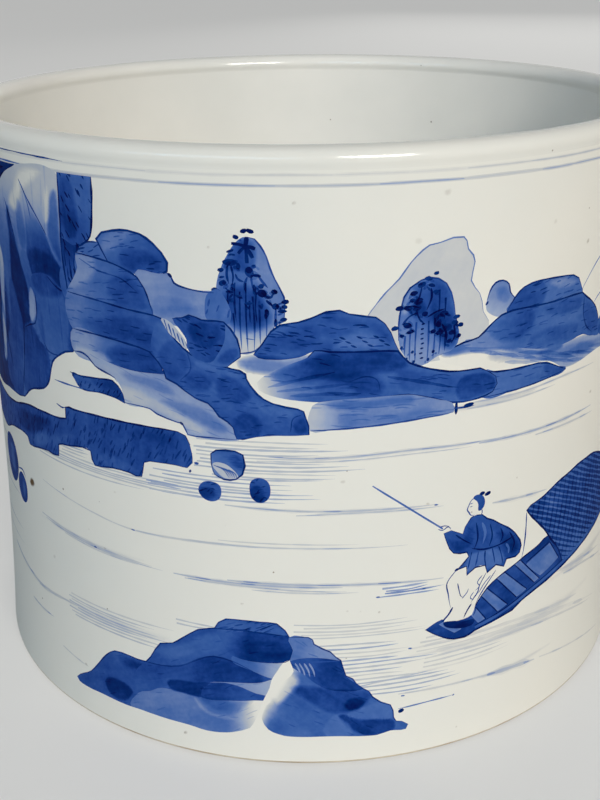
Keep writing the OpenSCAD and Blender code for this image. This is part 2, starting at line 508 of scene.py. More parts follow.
def cliff():
    edge = [(-59.5, 119), (-59, 112), (-59.2, 106), (-60, 104), (-63, 103.3), (-66, 101.5), (-68.5, 99.5),
        (-70, 96), (-71.5, 93), (-74, 91), (-79, 89.5), (-82, 88), (-85, 85.5), (-88, 84.8), (-96, 84.4)]
    flank = [(-104, 83.4), (-112, 84.6), (-116, 87.6), (-119.6, 88.8), (-122, 93), (-126.4, 95),
        (-127.4, 101), (-125.6, 106), (-129, 109), (-130, 116), (-126.6, 121), (-127.6, 127), (-122.6, 131),
        (-121.6, 137), (-117, 140), (-114, 146.6, 0)]
    mass = fill(edge + flank + [(-95, 147), (-76, 146.8), (-59, 147), (-59, 138), (-60, 128)], 0.12,
        fade=((-70, 143), (-74, 122), 0.55), grain=84)
    wash(mass, 0.5, 3, [(-90, 84), (-88, 100), (-88, 120), (-91, 134), (-100, 142), (-142, 142),
        (-142, 84)])
    corner = fill([(-118, 147), (-74, 147), (-79, 144.5), (-84, 141), (-92, 138), (-118, 136)], 0.9,
        within=mass, fade=((-76, 146), (-84, 144), 1.1), grain=20)
    dashes(corner, 16, 3, 0.4, 25, 0.3)
    lift(mass, 0.7, 1.6, [(-80, 137), (-76, 142), (-72, 146.6), (-63, 146.8), (-66, 144), (-72, 140),
        (-76, 135)])
    wash(mass, 0.3, 1.2, [(-64.6, 131.4), (-63.6, 137), (-61.4, 142.6), (-59, 143), (-59.6, 132),
        (-60.4, 124.6), (-62, 126)])
    lift(mass, 0.55, 1.1, [(-65.4, 134.4), (-63.8, 142), (-62, 144), (-62, 138), (-63.3, 134.4)])
    wash(mass, 0.14, 0.9, [(-77, 133), (-75.2, 139), (-73.4, 138), (-73, 130), (-74.8, 126), (-76.8, 127)])
    wash(mass, 0.52, 1, [(-80.6, 136.4), (-79, 131), (-77.3, 124), (-75.4, 117), (-75.4, 112.6),
        (-76.4, 107.4), (-80, 104.6), (-84, 103.6), (-86.8, 108), (-85.3, 114), (-83.8, 121), (-82.4, 128)])
    fill([(-72.5, 142.6), (-70, 138.4), (-67, 134.8), (-64.6, 131.5), (-63.4, 128), (-61.4, 125.2),
        (-59.6, 124), (-58.2, 121.6), (-61.5, 118.9), (-66.5, 121.4), (-70, 121.2), (-73, 120.4),
        (-74.6, 124), (-73.4, 130), (-72.8, 136)], 0.16, fade=((-72, 141), (-67.6, 125), 0.82), within=mass,
        soft=0.7)
    wash(mass, 0.16, 1.6, [(-74, 127), (-66, 128), (-60, 125.4), (-58, 121.6), (-61.5, 118.8), (-66, 121),
        (-74, 120)])
    fill([(-77.6, 124.6), (-74.8, 126.4), (-73, 122), (-72.4, 117.4), (-73.6, 116.4), (-75.6, 117.8),
        (-77.2, 121)], 0.62, within=mass, soft=0.5)
    fill([(-84.8, 118), (-88.4, 107), (-93.4, 98), (-96, 88), (-90, 84.4), (-86, 84.8), (-82.4, 97),
        (-80.2, 105.8), (-81.8, 112)], 0.74, within=mass, soft=1.0)
    lift(mass, 0.8, 0.9, [(-87.4, 122), (-91, 108), (-95.4, 92), (-98, 92), (-94.4, 108), (-89.4, 126)])
    fill([(-80.5, 106), (-76, 107.6), (-73.2, 104), (-70.3, 102.6), (-69.4, 100), (-70.8, 91.5),
        (-78, 88.8), (-84.2, 87.2), (-82.4, 97)], 0.84, fade=((-76, 104), (-78, 91), 0.76), within=mass,
        soft=0.4)
    block = fill([(-73.4, 120), (-66.5, 121.6), (-61.5, 118.8), (-59.4, 119), (-58.8, 112), (-58.4, 107),
        (-59.4, 103.4), (-64, 102), (-69.7, 101.8), (-71.6, 104), (-73.4, 108), (-73, 114)], 0.6,
        within=mass, grain=86)
    wash(block, 0.24, 1.1, [(-61.6, 120), (-58.6, 120), (-58, 108), (-59, 102.6), (-62, 103), (-60.8, 112)])
    wash(block, 0.2, 1.5, [(-73.4, 121.6), (-62, 121.6), (-61, 117.4), (-72, 116)])
    wash(block, 0.12, 1.2, [(-73.6, 114), (-71, 114), (-70, 104), (-72, 103)])
    fill([(-76, 115), (-74.4, 117.4), (-72.9, 115.8), (-72.8, 112), (-73.6, 109.6), (-75.6, 107.8),
        (-76.9, 109.5), (-76.5, 112)], 0.26, within=mass, soft=0.6)
    for points, width, tone in (
            ([(-73, 143.6), (-70.4, 139.2), (-67.2, 135), (-64.8, 131.6)], 0.5, 0.55),
            ([(-71.8, 141.4), (-70.6, 138), (-70.2, 134.4)], 0.4, 0.3),
            ([(-81.4, 138), (-80, 133), (-78.8, 128)], 0.5, 0.4),
            ([(-72.7, 115.8), (-73, 111), (-74.4, 108), (-76.6, 107.2), (-80, 105.6)], 0.4, 0.4),
            ([(-66.6, 121.4), (-64, 119.6), (-61.5, 118.8), (-59, 120)], 0.4, 0.3),
            ([(-71.4, 104), (-69.6, 101.8), (-64, 102), (-59.6, 103.4)], 0.4, 0.35),
            ([(-80.4, 106), (-82.4, 97), (-86, 85.4)], 0.45, 0.4)):
        shade(mass, points, width, tone)
    for x in (-92, -97, -104, -113, -122):
        shade(mass, [(x, 132), (x - 1.5, 110), (x + 1, 92)], 1.6, 0.2)
    for x, high, low in ((-106, 130, 92), (-117, 128, 98), (-124, 118, 97)):
        lift(mass, 0.4, 1.8, [(x, low), (x - 3, (low + high) / 2), (x - 1, high), (x + 4, high - 8),
            (x + 3, low + 6)])
        shade(mass, [(x + 3.6, high - 6), (x + 3, (low + high) / 2), (x + 0.6, low)], 0.6, 0.4)
    stroke(flank, 0.5, 1)
    dashes(mass, 70, 9, 0.5, 85, 0.05, 5)
    stroke(edge, 0.5, 1)


def column():
    side = [(-48.2, 147, 0), (-48.8, 141), (-50, 134.5), (-51, 132.6), (-53.5, 131.2), (-54.3, 128),
        (-55.5, 124.5), (-57, 122), (-59.6, 121.4)]
    body = fill([(-58.2, 147, 0)] + side + [(-60, 128), (-59, 138)], 0.54,
        fade=((-50.5, 140), (-58, 137), 0.74), grain=86)
    fill([(-61, 124.6), (-55.4, 124.8), (-55.6, 118), (-60.6, 117)], 0.62)
    under = fill([(-60, 131.4), (-56, 130.6), (-53.6, 131)] + side[5:8] + [(-59.8, 121.4)], 0.66,
        within=body, fade=((-57, 122), (-57, 131), 0.95), grain=88)
    dashes(under, 10, 4, 0.4, 88, 0.2, 4)
    wash(body, 0.16, 1.2, [(-57.6, 146.5), (-54.5, 146.5), (-53, 139), (-54, 133), (-58, 132)])
    dashes(body, 34, 1.6, 0.42, -62, 0.4)
    stroke(side[:5], 0.55, 1.15)
    stroke([(-58.2, 147), (-59, 138), (-60, 128), (-59.5, 119), (-59, 110)], 0.55, 1)


def terraces():
    step = fill([(-55.6, 124.5), (-54, 130.6), (-51.5, 132), (-48.8, 132.4), (-46, 130.5), (-45, 127),
        (-50, 127)], 0.5, grain=15)
    dashes(step, 7, 2.6, 0.4, 25, 0.35)
    domeLeft = [(-46, 128), (-47.4, 130.5)]
    domeTop = [(-48.7, 133), (-47, 134.7), (-44, 135.5), (-40, 135.9), (-37, 135.4), (-34, 133.6),
        (-32, 131.6), (-30.8, 129.5), (-31, 127.6), (-32.5, 126.7)]
    dome = fill(domeTop + [(-38, 126), (-42, 126.6)] + domeLeft, 0.5, fade=((-44, 135), (-38, 127), 0.7),
        grain=15)
    wash(dome, 0.16, 1.4, [(-43, 131), (-36, 132.5), (-32, 129.5), (-33, 127), (-42, 127)])
    lift(dome, 0.22, 1.6, [(-48, 133), (-44, 136), (-38, 136), (-41, 132.6), (-47, 129.6)])
    dashes(dome, 20, 2, 0.32, 8, 0.22)
    stroke(domeLeft + domeTop + [(-38, 126.2)], 0.56, 0.96, ends=(0.6, 0.5))
    stroke([(-54, 130.6), (-51.5, 132), (-48.8, 132.2)], 0.45, 1)
    brink = [(-31, 127.2), (-30.2, 126.6), (-29.5, 125), (-27.5, 124.2), (-24, 123.6), (-20.3, 123.4)]
    plateau = fill([(-39, 126.4), (-33, 126.8)] + brink + [(-18, 117), (-35.2, 116.4)], 0.36,
        fade=((-34, 126), (-26, 117), 0.36), grain=5)
    wash(plateau, 0.08, 1.6, [(-36, 121), (-28, 122), (-24, 119), (-30, 117), (-35, 117)])
    lift(plateau, 0.12, 2, [(-40, 127), (-33, 127.4), (-29, 126), (-31, 119), (-37, 117)])
    knee = fill([(-22, 117), (-22.6, 120.5), (-21.6, 123.4), (-19, 124), (-17, 117)], 0.55, grain=70)
    stroke([(-32, 126.9)] + brink, 0.42, 0.9)
    lens((-30.4, 126.7), 1.3, 0.8, -50, 1.1)
    dashes(knee, 4, 2, 0.4, 70, 0.2)
    first = [(-55.5, 129), (-50, 128.6), (-46, 128.1), (-42, 127), (-38.6, 125.4), (-37, 123), (-36, 120),
        (-35.2, 116.8)]
    body = fill([(-59.8, 118), (-57.3, 122.4), (-55.4, 125.5)] + first + [(-42, 117), (-50, 118)], 0.46,
        fade=((-56, 124), (-39, 120), 0.64), grain=10)
    wash(body, 0.16, 1.5, [(-47, 124), (-40, 125.5), (-36.5, 119.5), (-37, 117.4), (-46, 118.4)])
    lift(body, 0.35, 2.2, [(-60, 120), (-56.6, 129.6), (-49, 128.6), (-52, 121.6)])
    dashes(body, 26, 2.6, 0.32, 6, 0.16)
    stroke(first, 0.42, 1)
    shade(body, [(-54.6, 127.8), (-49, 125.6), (-43, 124.6), (-39, 122)], 0.35, 0.22)
    second = [(-59.6, 119), (-50, 118.4), (-42, 117.5), (-35.2, 116.9), (-33.4, 116.4), (-32, 114),
        (-30, 111.6), (-28.2, 110), (-27.4, 108)]
    body = fill(second + [(-29, 105), (-36, 106.6), (-42, 108.4), (-50, 109.4), (-59, 109.6)], 0.44,
        fade=((-58, 117), (-44, 113), 0.7), grain=8)
    wash(body, 0.12, 1.8, [(-57, 112), (-48, 115), (-40, 117), (-35, 114), (-34, 110), (-42, 109.6),
        (-50, 110.6)])
    dashes(body, 26, 2.4, 0.32, 2, 0.16)
    stroke(second, 0.42, 1)
    third = [(-59.2, 110), (-50, 109.8), (-42, 109), (-37, 108), (-35, 106), (-33.4, 103)]
    body = fill(third + [(-32.6, 101), (-41, 101.4), (-47, 102), (-53, 102.6), (-59.5, 104)], 0.32,
        fade=((-55, 106), (-44, 105), 0.62), grain=5)
    wash(body, 0.18, 1.3, [(-50, 105.6), (-44, 109), (-36, 108.4), (-32.6, 103.4), (-37, 101), (-45, 102)])
    lift(body, 0.4, 1.4, [(-59.5, 106), (-54, 106.4), (-47, 104.4), (-50, 102), (-60, 103.4)])
    dashes(body, 14, 2.6, 0.3, -4, 0.14)
    stroke(third, 0.45, 1)


def bigSlope():
    ledge = [(-38, 93.8), (-36, 92.7), (-31, 91.4), (-29.7, 91.3), (-29, 90), (-28.4, 88.6)]
    pale = fill([(-60, 104.2), (-56.5, 104), (-53.5, 102), (-50, 100.6), (-47, 99.6), (-45.4, 97.4),
        (-44.8, 94)] + ledge + [(-16, 88.4), (-15, 92), (-22, 99), (-30, 103.4), (-33, 103), (-41, 102.6),
        (-47, 103.2), (-54, 104.6)], 0.2, fade=((-50, 101), (-34, 97), 0.28), grain=-12)
    wash(pale, 0.14, 1.5, [(-46, 102), (-40, 102.4), (-33, 101), (-31, 98), (-38, 98.6), (-45, 100)])
    wash(pale, 0.14, 1.4, [(-36, 96.5), (-27, 97), (-21, 94), (-18, 90), (-25, 91), (-32, 94)])
    lift(pale, 0.45, 2, [(-46.4, 98.6), (-45.4, 93), (-38, 92.6), (-30, 90), (-27, 88), (-22, 89),
        (-30, 94.6), (-38, 98)])
    dashes(pale, 22, 4, 0.3, -14, 0.07)
    stroke([(-45, 94.1)] + ledge + [(-22, 88.5), (-16.5, 88.5)], 0.36, 0.8)
    lens((-29.8, 91.2), 1.1, 0.7, -40, 1.1)
    ridge = [(-33.4, 116.4), (-32, 114), (-30, 111.5), (-26.5, 108.5), (-24, 107.6), (-20, 106.6),
        (-17, 105.8), (-15.3, 105.5), (-14, 104.7), (-13.8, 103.5), (-13, 102), (-11.5, 100), (-10, 98.8),
        (-8, 97.8), (-5, 97), (-2.5, 96.6), (-1, 96), (-0.6, 94.5), (0.1, 92.5), (0.2, 90.2, 0)]
    left = [(-16.5, 88.6), (-17.3, 91.5), (-18.5, 92.8), (-20.5, 94), (-21.8, 95.8), (-23, 97), (-26, 98),
        (-28.5, 99.5), (-30.5, 101), (-33.1, 102), (-33.6, 104)]
    body = fill(ridge + [(-3, 90), (-8, 89.9), (-12, 89.4)] + left + [(-35, 106), (-36.4, 110)], 0.66,
        fade=((-22, 106), (-12, 92), 0.7), grain=-35)
    for tone, points in (
            (0.14, [(-35, 108), (-31, 112), (-27.6, 109), (-27, 105), (-30, 102), (-34, 104)]),
            (0.2, [(-29, 103), (-25, 105), (-21.5, 102.5), (-23, 99.6), (-28, 100)]),
            (0.16, [(-20, 104), (-15, 103), (-12.5, 99), (-17, 97), (-21, 99)]),
            (0.18, [(-18, 92.6), (-15, 95.6), (-11.4, 95), (-10.2, 91), (-12, 88.6), (-17, 88)]),
            (0.22, [(-4, 92), (-2.6, 94.6), (-0.6, 94.6), (0.2, 91), (-2, 90)]),
            (-0.14, [(-26, 107.6), (-18, 106), (-14.5, 104), (-20, 104), (-26, 106)]),
            (-0.1, [(-13, 99.5), (-8, 97.6), (-2, 96.4), (-5, 94), (-11, 96)])):
        wash(body, tone, 1.1, points)
    shade(body, [(-4, 91), (-3.4, 94.2), (-1.4, 95.2)], 0.3, 0.25)
    shade(body, [(-27.4, 109), (-26.8, 105), (-29.5, 102)], 0.35, 0.18)
    dashes(body, 46, 2, 0.34, 0, 0.15)
    stroke(ridge, 0.46, 1, ends=(0.5, 0.6))
    stroke(left + [(-34.6, 105.6), (-37, 108)], 0.42, 0.98)


def darkRock():
    outline = [(-30.5, 116.7), (-28, 117.1), (-26.5, 117.8), (-25, 117.5), (-23.5, 116.9), (-18.5, 116.8),
        (-17, 115.3), (-15.6, 113), (-15, 110.5), (-15, 108.8), (-17, 107.2), (-18, 106.3)]
    body = fill(outline + [(-21, 106.4), (-24, 107.2), (-26, 108), (-27.3, 110), (-27.4, 112),
        (-29, 114.5)], 0.52, grain=-70)
    block = fill([(-30.5, 116.7), (-26.5, 117.6), (-18.6, 116.8), (-18.2, 114.5), (-18.6, 112),
        (-20, 109.4), (-22, 107), (-26, 108), (-27.4, 111), (-29, 114.5)], 0.74, within=body, grain=-70)
    wash(block, 0.16, 1.2, [(-27, 116), (-20, 116.4), (-19, 113), (-23, 109.6), (-26.6, 112)])
    dashes(block, 22, 1.6, 0.4, -15, 0.25, 25)
    wash(body, 0.2, 0.9, [(-18, 110.6), (-15.4, 111), (-15.2, 108.6), (-18, 106.6), (-20.6, 107.4)])
    stroke(outline, 0.42, 1.02)
    gap = fill([(-33.2, 116.4), (-31, 115.7), (-29, 113.5), (-27.6, 111.5), (-27.5, 109.7), (-29.5, 111.5),
        (-31.5, 113), (-32.7, 115)], 0.16)
    for i in range(6):
        stroke([(-32.6 + i, 116.4 - i), (-31.8 + i * 0.95, 113.2 - i * 0.75)], 0.3, 0.7, within=gap)


def whiteTerrace():
    stroke([(-60, 104.2), (-57, 104.4), (-55, 103.6), (-53, 101.8), (-50, 100.8), (-47.4, 100),
        (-46.6, 99)], 0.45, 0.95)
    brow = [(-58, 98.2), (-52, 98.8), (-48, 99), (-46.5, 98), (-45.2, 96)]
    wedge = fill([(-61.4, 98.4)] + brow + [(-44.8, 93.8, 0), (-48, 95), (-52, 95.3), (-58.6, 94.9),
        (-60.4, 96.6)], 0.68, fade=((-58, 97), (-47, 97), 0.9), grain=0)
    dashes(wedge, 30, 1.3, 0.34, 55, 0.25, 20)
    stroke([(-62, 98.4)] + brow + [(-44.8, 94)], 0.42, 1.1)
    stroke([(-60.4, 96.6), (-58.6, 94.9), (-52, 95.2), (-48, 94.9), (-45, 93.9)], 0.34, 1)
    stroke([(-68.5, 94.8), (-64, 94.8), (-58, 94.9)], 0.4, 0.6, ends=(0.2, 0.8))


def bank():
    brow = [(-28, 86), (-29, 88.2), (-31, 89), (-43, 89), (-55, 88.8), (-62, 88.5), (-65.2, 88.3),
        (-65.4, 85.2), (-68, 84.6), (-76, 84.2), (-84, 83.6), (-92, 81.6), (-100, 81), (-110, 82),
        (-122, 81), (-132, 79)]
    foot = [(-134, 75), (-124, 72), (-112, 71), (-104, 70.5), (-99, 72.5), (-92, 74), (-86, 74), (-85, 72),
        (-80, 72.8), (-75, 73.6), (-70, 73.8), (-69.6, 77), (-66, 77.8), (-60, 79), (-57.2, 78.8),
        (-56.8, 76.5), (-56, 75.2), (-50, 76), (-45, 75.9), (-41.5, 75.6), (-40.6, 79.5), (-37, 80.2),
        (-32, 80.3), (-29, 80), (-27.6, 81.5), (-27.6, 84)]
    body = fill(brow + foot, 0.74, grain=84)
    wash(body, 0.04, 1.6, [(-57, 87), (-44, 88), (-30, 87.6), (-29, 82), (-42, 78), (-56, 77)])
    wash(body, 0.2, 1.6, [(-90, 81), (-84, 82), (-72, 83), (-75, 79), (-84, 75), (-92, 76)])
    wash(body, -0.12, 1.6, [(-80, 78), (-70, 80), (-62, 82), (-66, 78.6), (-74, 74.4), (-84, 73.4)])
    wash(body, -0.1, 1.2, [(-55, 79), (-46, 79), (-42, 76.4), (-55, 76)])
    dashes(body, 210, 2.4, 0.42, 66, 0.16, 12)
    stroke(brow, 0.5, 1.2)
    stroke(foot, 0.42, 1.05)
    stroke([(-68.8, 88.4), (-66.6, 87.9), (-65.4, 88.2)], 0.4, 0.9)
    lens((-28.3, 79.3), 0.9, 0.6, 60, 1)
    lens((-26.6, 81.6), 1.2, 0.5, 0, 0.8)


def stones():
    rim = [(-22.9, 81.5), (-22.9, 84.4), (-21.6, 85.4), (-17, 85.5), (-15.2, 84.7), (-14.8, 82),
        (-15.5, 79.7), (-17, 78.4), (-20, 78.1), (-22.2, 79.2)]
    big = fill(rim, 0.62, fade=((-16, 84), (-21, 79), 0.4), grain=30)
    wash(big, 0.25, 1, [(-18, 85), (-15.2, 84), (-15.2, 80.5), (-17.6, 81.5), (-19, 83)])
    fill([(-22.6, 81.8), (-21, 82.4), (-18.6, 81.6), (-16.4, 79), (-17.6, 78.4), (-20, 78.6), (-21.6, 80)],
        0.12, within=big)
    for i in range(5):
        stroke([(-22.4 + i * 0.9, 81.6 - i * 0.2), (-20 + i * 0.7, 80.6 - i * 0.2),
            (-18.6 + i * 0.45, 78.6)], 0.26, 0.62, within=big)
    stroke(rim + rim[:1], 0.45, 1.05)
    for centre, width, height in (((-23.4, 74.8), 5.8, 5.3), ((-11.4, 75.9), 5.3, 6.2)):
        body = lens(centre, width, height, 0, 0.7, rough=0.07)
        lens((centre[0] - width * 0.16, centre[1] - height * 0.14), width * 0.8, height * 0.8, 30, 0.2,
            how="add", within=body, soft=0.5)
        dashes(body, 9, 1.3, 0.36, 20, 0.24, 40)
    for centre, width, height in (((-102, 62), 12, 14.5), ((-93.5, 56), 7, 9)):
        body = lens(centre, width, height, 0, 0.85, rough=0.05)
        lens((centre[0] + 1, centre[1]), width * 0.5, height * 0.7, 0, -0.25, how="add", within=body,
            soft=1.5)
    stroke([(-96, 61), (-92.4, 61.6), (-90.5, 60)], 0.5, 0.7)


# Presses of the brush (across, up, length, width, angle), each with paler dabs round it
def needles(places, hill):
    for x, y, length, width, angle in places:
        lens((x, y), length * 1.12, width * 1.15, angle, chance.uniform(0.92, 1.15))
        for _ in range(2):
            lens((x + chance.uniform(-1, 1), y + chance.uniform(-1, 0.5)), length * 0.9, width * 0.75,
                angle + chance.uniform(-60, 60), chance.uniform(0.1, 0.3), how="add", within=hill)


def trunkLines(trunks):
    for x, low, high in trunks:
        stroke([(x, high), (x + chance.uniform(-0.25, 0.25), (low + high) / 2), (x, low)], 0.42, 0.32,
            how="add", ends=(1, 0.2))


def twigs(routes):
    for points in routes:
        stroke(points, 0.5, 0.42, how="add")


def firstPines():
    outline = [(-13.5, 136), (-15.5, 134.3), (-17.5, 131), (-18.8, 128.5), (-19.6, 126), (-20, 122),
        (-19.3, 119.5), (-18.5, 117.5), (-17.3, 115.5), (-15.5, 112.8), (-15, 109.5), (-13.5, 109.3),
        (-12, 109.8), (-11, 110.7), (-9.5, 112.5), (-8.5, 114), (-7, 116.3), (-5.2, 117.2), (-4.8, 121),
        (-5, 123), (-5.9, 125), (-6.9, 127), (-7.9, 129.5), (-8.6, 132), (-9.8, 134.3), (-11, 135.8),
        (-12.5, 136.2)]
    body = fill(outline, 0.4, fade=((-13, 118), (-12.5, 111.5), 0.1), grain=85)
    wash(body, 0.14, 2, [(-20, 124), (-17, 131), (-13, 136), (-11.6, 130), (-9, 125), (-8, 117),
        (-17, 116)])
    wash(body, 0.3, 1.3, [(-17, 134), (-13, 136.4), (-10.6, 134), (-11, 129), (-15, 128), (-18.4, 129)])
    wash(body, 0.3, 1.8, [(-18.6, 124), (-13, 126), (-9, 123), (-7, 117.6), (-10, 114.6), (-16, 114.6),
        (-19, 119)])
    trunkLines([(-16.2, 113.5, 119), (-14.6, 110.6, 124), (-13.2, 110, 126), (-11.8, 110.2, 123),
        (-10.4, 112, 121), (-9, 113.6, 120), (-17.2, 117, 124), (-15.6, 117, 126), (-12.5, 117, 122),
        (-11, 117, 124)])
    stroke([(-13.6, 113.2), (-11.6, 113)], 0.26, 0.3, how="add")
    stroke([(-15.2, 109.6), (-12.6, 110), (-11, 110.8), (-9.5, 112.6), (-7, 116.4)], 0.4, 0.85)
    stroke(outline[-1:] + outline[:4], 0.3, 0.55)
    stroke(outline[17:][::-1], 0.38, 0.8)
    for end in (
            (-16, 134.7), (-14.6, 132.5), (-11.5, 131.6), (-10.9, 133.6), (-12.6, 136.2), (-12.75, 130.4)):
        stroke([(-12.95, 134.1), ((-12.95 + end[0]) / 2, (134.1 + end[1]) / 2 + 0.15), end], 0.85, 1.15,
            ends=(0.9, 0.7))
    needles([(-13.3, 137.5, 1.5, 0.9, 20), (-11.9, 137.5, 1.5, 0.9, -20), (-15, 136.1, 1.3, 0.9, -15),
        (-16.4, 133, 1.6, 0.6, 20), (-16.5, 130.5, 2.8, 1.3, -4), (-18.6, 128.7, 1.3, 0.9, 10),
        (-18.4, 127.1, 1.2, 0.5, 15), (-18.3, 125.8, 1.6, 1.2, 25), (-20.2, 124.2, 1.3, 0.9, 10),
        (-19.5, 122.6, 1.4, 1, -20), (-16.1, 125.2, 0.9, 1.1, 0), (-16.8, 123.8, 1.6, 0.7, 0),
        (-16.6, 122, 1.4, 1, -5), (-14.7, 129.7, 0.9, 1.3, 0), (-12.3, 128.4, 1.7, 2.2, 15),
        (-10.8, 127.7, 2, 0.7, -12), (-11.4, 129.7, 1.1, 0.8, 15), (-11.4, 124.6, 0.7, 2.2, 0),
        (-9.9, 125.3, 1.2, 1, 30), (-9.7, 123.7, 1.8, 1.6, 0), (-7, 124.1, 1.4, 1, -10),
        (-6.9, 120.8, 1.5, 1.3, 0), (-4.7, 121.9, 1.6, 1, 12), (-4.9, 120.7, 1.2, 0.9, 0),
        (-5.5, 119.7, 1.9, 0.7, 5), (-5.2, 117.8, 1.4, 0.9, 10), (-8.2, 121.6, 1.8, 0.6, -42),
        (-8.8, 119.2, 1, 1.7, -10), (-6.9, 117, 0.8, 1.6, 0), (-12.8, 121.3, 1.8, 0.6, 5),
        (-14.7, 122.9, 1.2, 0.7, 0), (-10.4, 121, 0.7, 1.8, 0)], body)
    twigs((
        [(-17, 130), (-17.3, 127.6), (-16.9, 125.6)], [(-16.3, 129.8), (-15.9, 127.4), (-16.2, 125.4)],
        [(-15.4, 128), (-14.9, 126.8), (-13.6, 126.2)],
        [(-12.8, 127.4), (-13.4, 125.6), (-13.2, 123.6)], [(-12, 127.4), (-11.8, 125.6), (-11.4, 124)],
        [(-9.4, 123.4), (-8, 122.8), (-7.2, 123.8)], [(-6.9, 120.8), (-6, 121.4), (-4.8, 121.9)],
        [(-6.8, 120.4), (-6.9, 118.6), (-6.9, 117)], [(-19.6, 122.6), (-18.6, 120.6), (-17.6, 117.2)],
        [(-10.6, 128), (-9.6, 126.4), (-8.4, 125)]))


def secondPines():
    outline = [(20.3, 112), (20.2, 116), (20.6, 119.5), (21.2, 122), (22.5, 124), (25, 125.6), (27, 126),
        (29, 125.6), (31, 124.3), (32.3, 122), (33.1, 119.5), (33.6, 117), (34.5, 114), (35, 111.5),
        (34.6, 109.8), (33, 108.2), (31, 107.8), (29, 107), (27.5, 106), (26, 105.5), (24, 106),
        (22, 107.8), (21, 109.5)]
    body = fill(outline, 0.48, fade=((24, 117), (23.5, 107), 0.3), grain=85)
    wash(body, 0.26, 1.8, [(27, 126.4), (32, 124), (34, 118), (35.6, 112), (34, 108), (30.5, 108.6),
        (28.4, 113), (27, 119)])
    wash(body, 0.16, 1.4, [(22, 122.5), (26, 125), (29, 120), (28, 115), (23, 117)])
    wash(body, 0.24, 1.4, [(21, 121), (25, 122), (27, 118), (23, 117)])
    wash(body, 0.14, 1.4, [(28, 118), (33, 117.6), (35.4, 112), (32, 109), (28.6, 112)])
    lift(body, 0.4, 1, [(20.4, 118), (22.4, 124), (24.5, 123), (22.6, 118)])
    trunkLines([(21.8, 108.2, 113), (23, 107, 115), (24.3, 106.4, 116), (27.2, 106.4, 116),
        (28.6, 107, 117), (30, 107.8, 114), (31.4, 108.4, 114), (29.4, 116, 123), (31, 116, 121)])
    for i in range(8):
        lens((25.8 + chance.uniform(-0.2, 0.2), 115.4 - i * 1.15), 0.9, 0.45, 10, 1.05)
    feet = [(22.2, 107.4), (24, 106.6), (27.4, 106.8), (28.6, 108.6), (21, 110.2), (23.6, 109)]
    needles([(x, y, 0.8, 0.6, 60) for x, y in feet], body)
    stroke(outline[:13], 0.4, 0.85)
    needles([(28.5, 126.9, 1.2, 0.8, 10), (26.7, 125.8, 1.7, 1, -10), (25.2, 124.5, 1.9, 1.1, 20),
        (27.5, 124.2, 1.6, 0.8, -15), (23.5, 122.7, 1.7, 1, 15), (28.6, 122.6, 1.4, 0.8, 0),
        (24.6, 120.8, 2, 1.1, 20), (23.2, 121.1, 1.3, 0.9, 0), (20.2, 119.5, 1.7, 1, 5),
        (22.2, 119.4, 2, 1, -10), (24.4, 119.2, 2, 1, 15), (26.2, 117.7, 1.5, 1, 0),
        (19.4, 114.9, 1.6, 1, 10), (22.2, 115.4, 2, 1.2, -15), (23, 113.8, 1.7, 0.9, 10),
        (21, 113, 1.2, 0.7, 0), (30.2, 115.2, 2.4, 1.7, 20), (31.8, 114, 2.2, 1.6, -10),
        (29.2, 117.2, 1.8, 1, 30), (31, 117.4, 1.8, 1, -20), (34, 116.2, 1.5, 0.9, 10),
        (33.6, 114.9, 1.6, 1, -10), (35.1, 114.2, 1.4, 0.9, 0), (34.7, 111.6, 1.5, 1, 10),
        (33, 112.6, 1.7, 1, 0), (30, 113, 1.9, 1.1, 10), (32.4, 110.6, 1.4, 0.9, 0),
        (28.4, 113.4, 1.3, 0.9, 0)], body)
    twigs((
        [(20.6, 119), (23, 119.8), (25, 119.2)], [(27, 117), (29, 118), (31, 118.4)],
        [(21, 115.6), (22.6, 117.4), (24.6, 118.2)], [(24.2, 118.6), (25, 116.6), (26.2, 115.4)],
        [(25.2, 124), (24.8, 122), (24, 120)], [(27.4, 123.6), (27.6, 121.4), (26.6, 118.6)],
        [(30.4, 115), (31.6, 112.6), (31.8, 110.8)], [(33.4, 114.4), (33.8, 112), (33, 110)]))


